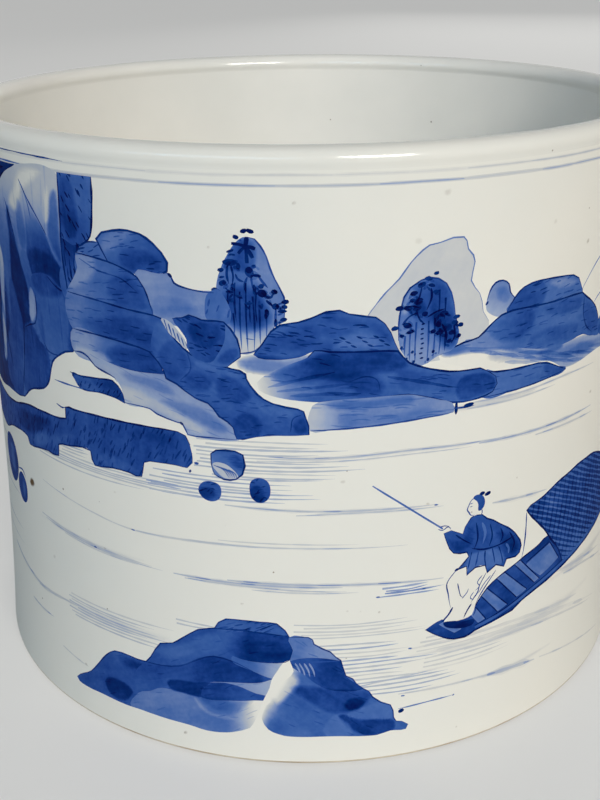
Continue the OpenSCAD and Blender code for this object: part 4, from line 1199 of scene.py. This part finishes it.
def greyLine(points, width, tone):  # a dry stroke with a paler wet one round it
    stroke(points, width * riverPaint["wetWidth"], tone * riverPaint["wetTone"], how="add", ends=(0.3, 0.2))
    stroke(points, width, tone * riverPaint["dryTone"], ends=(0.5, 0.1))


def river():
    for width, tone, points in riverLines:
        greyLine(points, width, tone)
        for a, b in zip(points, points[1:]):  # the brush presses harder here and there
            start = chance.uniform(0, 0.5)
            stroke([(a[0] + (b[0] - a[0]) * t, a[1] + (b[1] - a[1]) * t + 0.05)
                for t in (start, start + 0.3)], width * 0.7, tone * chance.uniform(0.1, 0.5), how="add")
    for start, end, highest, lowest, count, tone in riverRows:
        for i in range(count):
            up = highest + (lowest - highest) * i / max(count - 1, 1) + chance.uniform(-0.1, 0.1)
            long = end - start
            water(start + chance.uniform(0, 0.12) * long, end - chance.uniform(0, 0.3) * long, up,
                tone * chance.uniform(0.7, 1.3))
    foot = np.array([(15.5, 18.7), (13, 21.5), (11.3, 23), (8.8, 25.5), (8, 28), (7.5, 30), (5, 32.5),
        (1, 35)])
    for up in np.arange(19.6, 35, riverPaint["rockGap"]):
        start = np.interp(up, foot[:, 1], foot[:, 0])
        water(start, start + chance.uniform(14, 26), up, chance.uniform(0.06, 0.2))
    for place in riverDots:
        lens(place, 1.1, 0.45, -4, 0.6)
    for centre, length, width, tone in (
            ((-54, 31.4), 38, 7, 0.05), ((-62, 52.4), 40, 3, 0.04), ((88, 37), 40, 5, 0.06),
            ((58, 17.4), 26, 2.6, 0.05), ((64, 28), 60, 6, 0.04), ((40, 93.6), 40, 2.4, 0.08),
            ((-86, 76), 20, 5, 0.12)):
        lens(centre, length, width, 0, tone, soft=width * 0.45, how="add")


farGroups = [  # middle, width, height, shift of the pines, seed
    (150, 58, 14, 0.14, 1),
    (226, 84, 25, -0.3, 2),
    (-244, 52, 11, 0.22, 3),
    (-170, 50, 17, 0.2, 4),
]


def farHill(x, base, wide, high, tone):
    steps = 12
    top = []
    for i in range(steps + 1):
        swell = high * math.sin(math.pi * i / steps) ** 0.7
        top.append((x + wide * (i / steps - 0.5), base + swell * chance.uniform(0.74, 1.1)))
    drops = ((0.38, 0.8), (0.16, 2), (-0.1, 1.4), (-0.36, 0.8))
    low = [(x + wide * share, base - drop) for share, drop in drops]
    fade = ((x - wide * 0.4, base + high), (x + wide * 0.45, base), tone * 0.55)
    body = fill(top + low, tone, fade=fade, grain=-8)
    rises = ((-0.09, high * 0.15), (-0.02, high * 0.8), (0.08, high * 0.62), (0.1, 0.4))
    for middle in (-0.24, 0.02, 0.26):
        wash(body, 0.22, 1.2, [(x + wide * (middle + share), base + rise) for share, rise in rises])
    dashes(body, 36, 2.4, 0.32, 0, 0.16)
    stroke(top, 0.42, 1.0)


def farPines(x, low):
    outline = [(x - 7, low), (x - 7.4, low + 6), (x - 6, low + 12), (x - 2, low + 17), (x + 2, low + 18),
        (x + 5.4, low + 13), (x + 7, low + 6), (x + 6.5, low), (x, low - 3)]
    body = fill(outline, 0.44, fade=((x, low + 9), (x, low - 2), 0.12), grain=85)
    wash(body, 0.25, 2, [(x - 5, low + 6), (x - 3, low + 15), (x + 3, low + 14), (x + 5, low + 5)])
    trunkLines([(x + i * 1.4, low - 2, low + 8) for i in range(-4, 5)])
    stroke(outline[:8], 0.4, 0.85)
    needles([(x + chance.uniform(-5.6, 5.6), low + chance.uniform(5, 16), chance.uniform(1.2, 2.2),
        chance.uniform(0.8, 1.3), chance.uniform(-30, 40)) for _ in range(26)], body)


def farSide():  # the same river goes on round the back
    for x, wide, high, pines, seed in farGroups:
        chance.seed(seed)
        peak = [(x - wide * 0.42, 100), (x - wide * 0.3, 108 + high * 0.4),
            (x - wide * 0.2, 112 + high * 0.6), (x - wide * 0.12, 110 + high * 0.6),
            (x - wide * 0.02, 104 + high * 0.3), (x + wide * 0.1, 100)]
        fill(peak, 0.065, grain=60)
        stroke(peak, 0.34, 0.42)
        farPines(x + wide * pines, 101 + high * 0.2)
        farHill(x - wide * 0.12, 97, wide * 0.72, high, 0.62)
        farHill(x + wide * 0.2, 95, wide * 0.6, high * 0.62, 0.76)
        shore = fill([(x - wide * 0.5, 95.4), (x - wide * 0.2, 96.4), (x + wide * 0.3, 95),
            (x + wide * 0.52, 93.2), (x + wide * 0.2, 92), (x - wide * 0.3, 92.8)], 0.04,
            fade=((x - wide * 0.4, 94), (x, 94), 0.36), grain=-4)
        dashes(shore, 12, 6, 0.5, -3, 0.14, 3)
    for x, wide, high in ((206, 44, 25), (-214, 38, 21)):
        farHill(x - wide * 0.18, 9, wide * 0.7, high, 0.66)
        farHill(x + wide * 0.22, 8, wide * 0.6, high * 0.6, 0.8)
    for place, size in (((-160, 66), 6), ((-152, 60), 4.6), ((-166, 58), 5)):
        dashes(lens(place, size, size * 0.94, 0, 0.66, rough=0.08), 8, 1.4, 0.36, 20, 0.24, 40)
    for _ in range(riverPaint["backLines"]):
        start = chance.uniform(*riverPaint["backStarts"])
        end = min(start + chance.uniform(14, 46), 2 * halfTurn - 96)
        up = chance.uniform(36, 90)
        tone = chance.uniform(0.06, 0.2)
        for turn in (0, 2 * halfTurn):  # a line that crosses the seam is drawn from both sides
            if start - turn < halfTurn and end - turn > -halfTurn:
                water(start - turn, end - turn, up, tone)


def ironSpots():
    for centre, size, tone in (
            ((-86, 60.5), 2.8, 1.3), ((9.2, 43.6), 0.7, 0.5), ((12.4, 43.2), 0.6, 0.4),
            ((17, 42.6), 0.7, 0.5), ((-20, 66), 0.5, 0.4), ((54.5, 71.4), 0.6, 0.5),
            ((28.8, 70.2), 0.9, 0.4), ((-16.4, 45.2), 0.8, 0.35), ((-32, 5.5), 1.1, 0.6),
            ((-64, 14.8), 0.9, 0.5), ((8, 78.2), 1.1, 0.25), ((-2.6, 143.6), 1, 0.35),
            ((30, 144.6), 1.6, 0.2), ((73.6, 127.6), 1.2, 0.4), ((84, 86), 1.2, 0.4),
            ((-76, 42.4), 1.3, 0.22), ((-45.6, 60.4), 0.7, 0.45), ((-60, 56.2), 0.7, 0.25),
            ((-21, 133.6), 0.8, 0.3), ((60, 134.6), 1.2, 0.15), ((-54.6, 52.6), 0.8, 0.4),
            ((24, 134.4), 1.6, 0.12), ((31, 129.6), 0.5, 0.3), ((53, 133), 0.5, 0.3),
            ((-10.6, 7.6), 0.6, 0.4), ((38, 5), 0.7, 0.3), ((-50, 69.4), 0.8, 0.3), ((66, 78), 0.5, 0.3)):
        lens(centre, size * 1.3, size, chance.uniform(0, 60), tone, how="iron", soft=size * 0.3)


for paint in (borderLines, river, farSide, rightHills, firstPines, secondPines, middleGround, cliff, column,
        terraces, bigSlope, darkRock, whiteTerrace, bank, stones, boat, fisher, nearRock, ironSpots):
    paint()
print("brush marks laid out:", len(marks))


# The painted skin: one triangle mesh that follows every mark's edge, so the blue is held on its corners
def innerPoints(loop, soft):  # enough points inside a wash for its edge to fade evenly
    gap = max(soft * sheet["washGap"], sheet["leastGap"])
    low, high = loop.min(0), loop.max(0)
    places = np.array([(x + (row % 2) * gap / 2, y)
                       for row, y in enumerate(np.arange(low[1], high[1], gap * 0.87))
                       for x in np.arange(low[0], high[0], gap)])
    return np.concatenate([loop, places[windsRound(places, loop)]])


def triangulate():
    points = []
    edges = []

    def addLoop(loop):
        first = len(points)
        points.extend(Vector(place) for place in loop)
        edges.extend((first + i, first + (i + 1) % len(loop)) for i in range(len(loop)))

    rounds = 2 * round(halfTurn / sheet["lattice"])
    rows = round((skinHigh - skinLow) / sheet["lattice"])
    across = np.linspace(-halfTurn, halfTurn, rounds + 1)
    up = np.linspace(skinLow, skinHigh, rows + 1)
    addLoop([(x, skinLow) for x in across[:-1]] + [(halfTurn, y) for y in up[:-1]]
            + [(x, skinHigh) for x in across[:0:-1]] + [(-halfTurn, y) for y in up[:0:-1]])
    for row, y in enumerate(up[1:-1]):
        points.extend(Vector((x + (row % 2) * sheet["lattice"] / 2, y)) for x in across[1:-2])
    for mark in marks:
        loop = mark["loop"].copy()
        loop[:, 0] = np.clip(loop[:, 0], -halfTurn + sheet["seam"], halfTurn - sheet["seam"])
        loop[:, 1] = np.clip(loop[:, 1], skinLow + sheet["margin"], skinHigh - sheet["margin"])
        mark["loop"] = loop
        if mark["soft"]:
            points.extend(Vector(place) for place in innerPoints(loop, mark["soft"]))
        else:
            addLoop(loop)
    made = delaunay_2d_cdt(points, edges, [], 0, sheet["merge"])
    return np.array([tuple(place) for place in made[0]]), np.array([list(face) for face in made[2]])


def toneAt(mark, places):  # the mark's tone, or the fade between its two tones
    if not mark["fade"]:
        return np.full(places.shape[:2], mark["tone"], float)
    start, end, last = mark["fade"]
    way = np.array(end) - np.array(start)
    t = np.clip(((places - np.array(start)) @ way) / (way @ way), 0, 1)
    return mark["tone"] + (last - mark["tone"]) * t * t * (3 - 2 * t)


# Lays the marks in order: a triangle's corners get their blue and iron, and the triangle its brush
def settle(corners):
    middle = corners.mean(1)
    order = np.argsort(middle[:, 0])
    sortedAcross = middle[order, 0]
    blue = np.zeros(corners.shape[:2])
    iron = np.zeros(corners.shape[:2])
    grain = np.zeros(len(corners))
    shift = np.zeros(len(corners))
    for number, mark in enumerate(marks):
        loop, soft = mark["loop"], mark["soft"]
        low, high = loop.min(0) - soft, loop.max(0) + soft
        near = order[np.searchsorted(sortedAcross, low[0]):np.searchsorted(sortedAcross, high[0])]
        near = near[(middle[near, 1] > low[1]) & (middle[near, 1] < high[1])]
        if mark["within"] is not None:
            near = np.intersect1d(near, marks[mark["within"]]["found"])
        mark["found"] = found = near if soft or not len(near) else near[windsRound(middle[near], loop)]
        if not len(found):
            continue
        tone = toneAt(mark, corners[found])
        cover = reachInto(corners[found].reshape(-1, 2), loop, soft).reshape(-1, 3) if soft else 1.0
        if mark["how"] == "iron":
            iron[found] = np.maximum(iron[found], tone * cover)
        elif mark["how"] == "add":
            blue[found] = np.clip(blue[found] + tone * cover, 0, sheet["darkest"])
        elif mark["how"] == "lift":
            blue[found] *= 1 - tone * cover
        else:
            blue[found] += (tone - blue[found]) * cover
        if not soft:
            grain[found] = math.radians(mark["grain"])
            shift[found] = number * sheet["hairShift"]
    return blue, iron, grain, shift


def bendRound(flat):  # places and normals on the pot
    radius = outerSide(flat[:, 1]) * mm
    angle = flat[:, 0] / sheet["radius"]
    places = np.stack([radius * np.sin(angle), -radius * np.cos(angle), flat[:, 1] * mm], 1)
    normals = np.stack([np.sin(angle), -np.cos(angle), -outerSide.deriv()(flat[:, 1])], 1)
    return places, normals / np.linalg.norm(normals, axis=1)[:, None]


def weldSeam(flat):  # the sheet's two ends are one line on the pot
    start = np.nonzero(flat[:, 0] < -halfTurn + 1e-4)[0]
    weld = np.arange(len(flat))
    for index in np.nonzero(flat[:, 0] > halfTurn - 1e-4)[0]:
        weld[index] = start[np.argmin(abs(flat[start, 1] - flat[index, 1]))]
    return weld


def brushPlaces(corners, grain, shift):  # where each corner lies along and across the hairs of the brush
    cos, sin = np.cos(grain)[:, None], np.sin(grain)[:, None]
    along = corners[..., 0] * cos + corners[..., 1] * sin
    across = corners[..., 1] * cos - corners[..., 0] * sin
    own = np.repeat(shift[:, None], 3, 1)
    return np.stack([along * sheet["hairAlong"], across * sheet["hairAcross"], own], -1)


def mapPlaces(corners):  # two rows on the map: the front half above, the back below
    edge = 0.01
    front = abs(corners[..., 0].mean(1)) < halfTurn / 2
    behind = np.where(corners[..., 0] < 0, corners[..., 0] + 2 * halfTurn, corners[..., 0]) - halfTurn
    across = np.where(front[:, None], corners[..., 0], behind) / halfTurn + 0.5
    rise = (corners[..., 1] - skinLow) / (skinHigh - skinLow) * (0.5 - 2 * edge)
    return np.stack([across * (1 - 2 * edge) + edge, rise + np.where(front, 0.5 + edge, edge)[:, None]], -1)


def paintedSkin(name):
    flat, faces = triangulate()
    corners = flat[faces]
    turned = np.cross(corners[:, 1] - corners[:, 0], corners[:, 2] - corners[:, 0]) < 0
    faces[turned] = faces[turned][:, ::-1]
    corners = flat[faces]
    blue, iron, grain, shift = settle(corners)
    used, renamed = np.unique(weldSeam(flat)[faces], return_inverse=True)
    places, normals = bendRound(flat[used])
    mesh = bpy.data.meshes.new(name)
    mesh.from_pydata(places.tolist(), [], renamed.reshape(-1, 3).tolist())
    brush = brushPlaces(corners, grain, shift)
    for attribute, kind, key, values in (
            ("cobalt", "FLOAT", "value", blue),
            ("iron", "FLOAT", "value", iron),
            ("brush", "FLOAT_VECTOR", "vector", brush)):
        mesh.attributes.new(attribute, kind, "CORNER").data.foreach_set(key, values.ravel())
    mesh.uv_layers.new(name="OFBake").data.foreach_set("uv", mapPlaces(corners).ravel())
    mesh.polygons.foreach_set("use_smooth", [True] * len(mesh.polygons))
    mesh.normals_split_custom_set_from_vertices(normals)
    mesh.materials.append(paintedMaterial)
    print("painted side:", len(mesh.polygons), "triangles")
    return newObject(name, mesh)


def newObject(name, data):
    thing = bpy.data.objects.new(name, data)
    bpy.context.scene.collection.objects.link(thing)
    return thing


# Turned pieces: a Geometry Nodes lathe that carries a piece's section round the axis
turning = {"segments": 192, "bendSteps": 7, "archSteps": 25, "crease": 50, "skin": 0.35, "merge": 0.000001}


def latheTree():
    tree = bpy.data.node_groups.new("lathe", "GeometryNodeTree")
    for name, way, kind in (("Geometry", "INPUT", "Geometry"), ("Segments", "INPUT", "Int"),
                            ("Material", "INPUT", "Material"), ("Geometry", "OUTPUT", "Geometry")):
        tree.interface.new_socket(name, in_out=way, socket_type="NodeSocket" + kind)
    bench = Bench(tree)
    section = bench.add("NodeGroupInput", {}, {}, out="Geometry")
    rows = bench.add("GeometryNodeAttributeDomainSize", {}, {0: section}, out="Point Count")
    grid = {"Size X": 1.0, "Size Y": 1.0, "Vertices X": section.sister("Segments") + 1.0, "Vertices Y": rows}
    flat = bench.add("GeometryNodeMeshGrid", {}, grid, out="Mesh")
    position = bench.add("GeometryNodeInputPosition", {}, {})
    spot = bench.add("ShaderNodeSeparateXYZ", {}, {0: position})
    angle = (spot + 0.5) * math.tau
    row = bench.math("ROUND", (spot.sister(1) + 0.5) * (rows - 1.0))
    sample = bench.add("GeometryNodeSampleIndex", {"data_type": "FLOAT_VECTOR", "domain": "POINT"},
                       {"Geometry": section, "Value": position, "Index": row})
    radius = bench.add("ShaderNodeSeparateXYZ", {}, {0: sample})
    x = radius * bench.math("SINE", angle)
    y = radius * bench.math("COSINE", angle) * -1.0
    place = bench.add("ShaderNodeCombineXYZ", {}, {0: x, 1: y, 2: radius.sister(2)})
    shape = bench.add("GeometryNodeStoreNamedAttribute", {"data_type": "FLOAT2", "domain": "CORNER"},
                      {"Geometry": flat, "Name": "OFBake", "Value": flat.sister("UV Map")})
    for kind, sockets in (
            ("SetPosition", {"Position": place}),
            ("MergeByDistance", {"Distance": turning["merge"]}),
            ("SetShadeSmooth", {}),
            ("RealizeInstances", {}),
            ("SetMaterial", {"Material": section.sister("Material")})):
        shape = bench.add("GeometryNode" + kind, {}, {"Geometry": shape, **sockets})
    bench.feed(tree.nodes.new("NodeGroupOutput").inputs[0], shape)
    return tree


def runTree(piece, tree, values):
    modifier = piece.modifiers.new("shape", "NODES")
    modifier.node_group = tree
    for item in tree.interface.items_tree:
        if item.in_out == "INPUT" and item.name in values:
            modifier[item.identifier] = values[item.name]
    shaped = bpy.data.meshes.new_from_object(piece.evaluated_get(bpy.context.evaluated_depsgraph_get()))
    shaped.name = piece.name
    piece.modifiers.clear()
    piece.data = shaped


def turnedPiece(name, section, material):
    mesh = bpy.data.meshes.new(name)
    edges = [(i, i + 1) for i in range(len(section) - 1)]
    mesh.from_pydata([(r * mm, 0, z * mm) for r, z in section], edges, [])
    piece = newObject(name, mesh)
    runTree(piece, lathe, {"Segments": turning["segments"], "Material": material})
    shell = bmesh.new()
    shell.from_mesh(piece.data)
    bmesh.ops.recalc_face_normals(shell, faces=shell.faces)
    shell.to_mesh(piece.data)
    shell.free()
    piece.data.set_sharp_from_angle(angle=math.radians(turning["crease"]))
    print(name, len(piece.data.polygons), "faces")
    return piece


def bothFaces(pathAt):  # a path, and the way back along the same path one skin deeper
    return pathAt(0.0) + pathAt(turning["skin"])[::-1]


def rimSection():
    heights, radii = ringPoints("rim_glaze")
    middle = heights[np.argmax(radii)]
    outer, inner = radii.max(), radii.min()
    low = heights.min()
    crest, half = (outer + inner) / 2, (outer - inner) / 2
    outerLow, innerLow = outerSide(low), innerSide(low)

    def pathAt(depth):
        path = []
        for t in np.linspace(0, 1, turning["bendSteps"])[:-1]:
            swell = (1 - math.cos(math.pi * t)) / 2
            path.append((outerLow + (outer - outerLow) * swell - depth, low + (middle - low) * t))
        for a in np.linspace(0, math.pi, turning["archSteps"]):
            height = (potTop - middle - depth) * math.sin(a)
            path.append((crest + (half - depth) * math.cos(a), middle + height))
        for t in np.linspace(0, 1, turning["bendSteps"])[1:]:
            swell = (1 + math.cos(math.pi * t)) / 2
            path.append((innerLow + (inner - innerLow) * swell + depth, middle + (low - middle) * t))
        return path

    section = bothFaces(pathAt)
    return section + section[:1]


liningForm = {
    "corner": 4.0,     # radius between the floor and the wall
    "floorSteps": 12,
    "wallStart": 3,    # above the corner
    "wallSteps": 40,
    "leastCoat": 0.4,  # over the floor slab
}


def liningSection():
    corner = liningForm["corner"]
    steps = liningForm["floorSteps"]
    lowest = ringPoints("inner_glaze")[0].min()
    floorTop = lowest if lowest > liningLow else liningLow + liningForm["leastCoat"]
    wallLow = floorTop + corner + liningForm["wallStart"]

    def pathAt(depth):
        top = floorTop - depth
        reach = innerSide(floorTop + corner) + depth
        path = [(reach * i / steps, top) for i in range(steps) if reach * i / steps < reach - corner]
        path += [(reach - corner + corner * math.sin(a), top + corner * (1 - math.cos(a)))
                 for a in np.linspace(0, math.pi / 2, turning["bendSteps"])]
        levels = np.linspace(wallLow, skinHigh, liningForm["wallSteps"])
        return path + [(innerSide(z) + depth, z) for z in levels]

    return bothFaces(pathAt)


footForm = {
    "bite": 0.45,  # how far the ring goes in under the glaze
    "innerEdge": [(0, 0.5), (0.2, 0.15), (0.6, 0.0)],  # out from the recess, and up
    "flatShares": (0.25, 0.5, 0.75),
}


def footSection():
    bite = footForm["bite"]
    inner = ringPoints("foot_ring")[1].min()
    outer = outerSide(skinLow)
    edge = skinLow
    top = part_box("foot_ring")[1].z / mm
    section = [(inner, top)] + [(inner + out, up) for out, up in footForm["innerEdge"]]
    section += [(inner + (outer - inner) * share, 0.0) for share in footForm["flatShares"]]
    section += [(outer - edge + edge * math.sin(a), edge - edge * math.cos(a))
                for a in np.linspace(0, math.pi / 2, turning["bendSteps"])]
    return section + [(outer - bite, edge), (outer - bite, top), (inner, top)]


def recessSection():
    low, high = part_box("base_glaze")
    reach = high.x / mm
    under = [(reach * share, low.z / mm) for share in (0, 0.33, 0.66, 1)]
    return under + [(reach, high.z / mm), (0, high.z / mm)]


lathe = latheTree()
side = paintedSkin("painted_side")
rim = turnedPiece("rim", rimSection(), rimMaterial)
lining = turnedPiece("lining", liningSection(), glazeMaterial)
foot = turnedPiece("foot", footSection(), biscuitMaterial)
recess = turnedPiece("recess", recessSection(), glazeMaterial)

for piece, nodes, slot in ((side, ("outer_glaze", "border_lines"), "cobalt"), (rim, ("rim_glaze",), "rim"),
                           (lining, ("inner_glaze",), "glaze"), (foot, ("foot_ring",), "biscuit"),
                           (recess, ("base_glaze",), "glaze")):
    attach(piece, "root")
    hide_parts(*nodes)
for node in ("wall", "floor_slab"):
    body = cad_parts[node].data
    body.materials.clear()
    body.materials.append(biscuitMaterial)


# Studio: floor, lamps, world and camera
studio = {
    "floor": tint(222, 222, 220),
    "floorPatches": tint(208, 208, 206),
    "floorShown": tint(236, 236, 234),  # what the camera and the glaze see added to the floor's own shade
    "floorShare": 0.46,
    "floorRoughness": 0.6,
    "mottleScale": 3,
    "mottleShare": 0.2,
    "floorSize": 8.0,
    "world": (0.65, 0.86, 1.08, 1.0),
    "worldStrength": 0.05,
    "worldShown": tint(216, 216, 215),
    "lamps": [  # place, width, height, watts, colour, spread, whether the glaze mirrors it
        ((1.04, -2.58, 1.22), 1.1, 0.78, 55.0, (1.0, 0.944, 0.868), 180, True),
        ((-1.2, -1.9, 0.95), 2.4, 0.07, 10.5, (0.46, 0.73, 1.0), 180, True),
        ((-0.3, -0.8, 2.4), 0.6, 0.6, 8.0, (1.0, 0.97, 0.93), 180, False),  # over the mouth
        ((0.8, 2.9, 0.4), 1.2, 0.4, 6.5, (1.0, 0.98, 0.95), 60, False),  # for the back
    ],
    "aim": (0, 0, 0.09),
}


def makeFloor():
    material, bench = newMaterial("paleFloor")
    mottle = bench.noise(bench.place(), studio["mottleScale"], 2) * studio["mottleShare"]
    colour = bench.mix(mottle, studio["floor"], studio["floorPatches"])
    bench.finish({"Base Color": colour, "Roughness": studio["floorRoughness"]})
    base = Wire(bench, bench.tree.nodes["Principled BSDF"].outputs[0])
    pale = bench.add("ShaderNodeEmission", {}, {"Color": studio["floorShown"], "Strength": 1.0})
    bench.show("Material Output", bench.seen() * studio["floorShare"], base, pale)
    size = studio["floorSize"]
    mesh = bpy.data.meshes.new("floor")
    corners = [(-size, -size, 0), (size, -size, 0), (size, size, 0), (-size, size, 0)]
    mesh.from_pydata(corners, [], [(0, 1, 2, 3)])
    mesh.materials.append(material)
    floor = newObject("floor", mesh)


def makeLamps():
    for number, (place, width, height, watts, colour, spread, mirrored) in enumerate(studio["lamps"]):
        data = bpy.data.lights.new("lamp" + str(number), "AREA")
        data.shape = "RECTANGLE"
        data.size = width
        data.size_y = height
        data.energy = watts
        data.color = colour
        data.spread = math.radians(spread)
        lamp = newObject(data.name, data)
        lamp.location = place
        lamp.rotation_euler = (Vector(studio["aim"]) - Vector(place)).to_track_quat("-Z", "Y").to_euler()
        lamp.visible_glossy = mirrored


def makeWorld():
    world = bpy.data.worlds.new("studio")
    world.use_nodes = True
    bench = Bench(world.node_tree)
    back = bench.tree.nodes["Background"]
    bench.feed(back.inputs["Color"], studio["world"])
    bench.feed(back.inputs["Strength"], studio["worldStrength"])
    shown = bench.add("ShaderNodeBackground", {}, {"Color": studio["worldShown"]})
    bench.show("World Output", bench.seen(), Wire(bench, back.outputs[0]), shown)
    bpy.context.scene.world = world


view = {
    "place": (0, -0.3282, 0.1963),
    "pitch": 22.37,
    "yaw": -0.43,
    "roll": -0.58,
    "focalPixels": 1147,
    "imageHeight": 800,
    "sensorHeight": 24,
    "nearest": 0.01,
}


def makeCamera():
    data = bpy.data.cameras.new("camera")
    data.sensor_fit = "VERTICAL"
    data.sensor_height = view["sensorHeight"]
    data.lens = view["focalPixels"] * data.sensor_height / view["imageHeight"]
    data.clip_start = view["nearest"]
    pitch, yaw, roll = (math.radians(view[key]) for key in ("pitch", "yaw", "roll"))
    ahead = Vector((math.sin(yaw) * math.cos(pitch), math.cos(yaw) * math.cos(pitch), -math.sin(pitch)))
    level = ahead.cross(Vector((0, 0, 1))).normalized()
    upright = level.cross(ahead)
    right = math.cos(roll) * level + math.sin(roll) * upright
    up = math.cos(roll) * upright - math.sin(roll) * level
    turn = Matrix((right, up, -ahead)).transposed().to_4x4()
    camera = newObject("camera", data)
    camera.matrix_world = Matrix.Translation(view["place"]) @ turn
    bpy.context.scene.camera = camera


makeFloor()
makeLamps()
makeWorld()
makeCamera()
bpy.context.scene.view_settings.view_transform = "Standard"
print("studio ready")
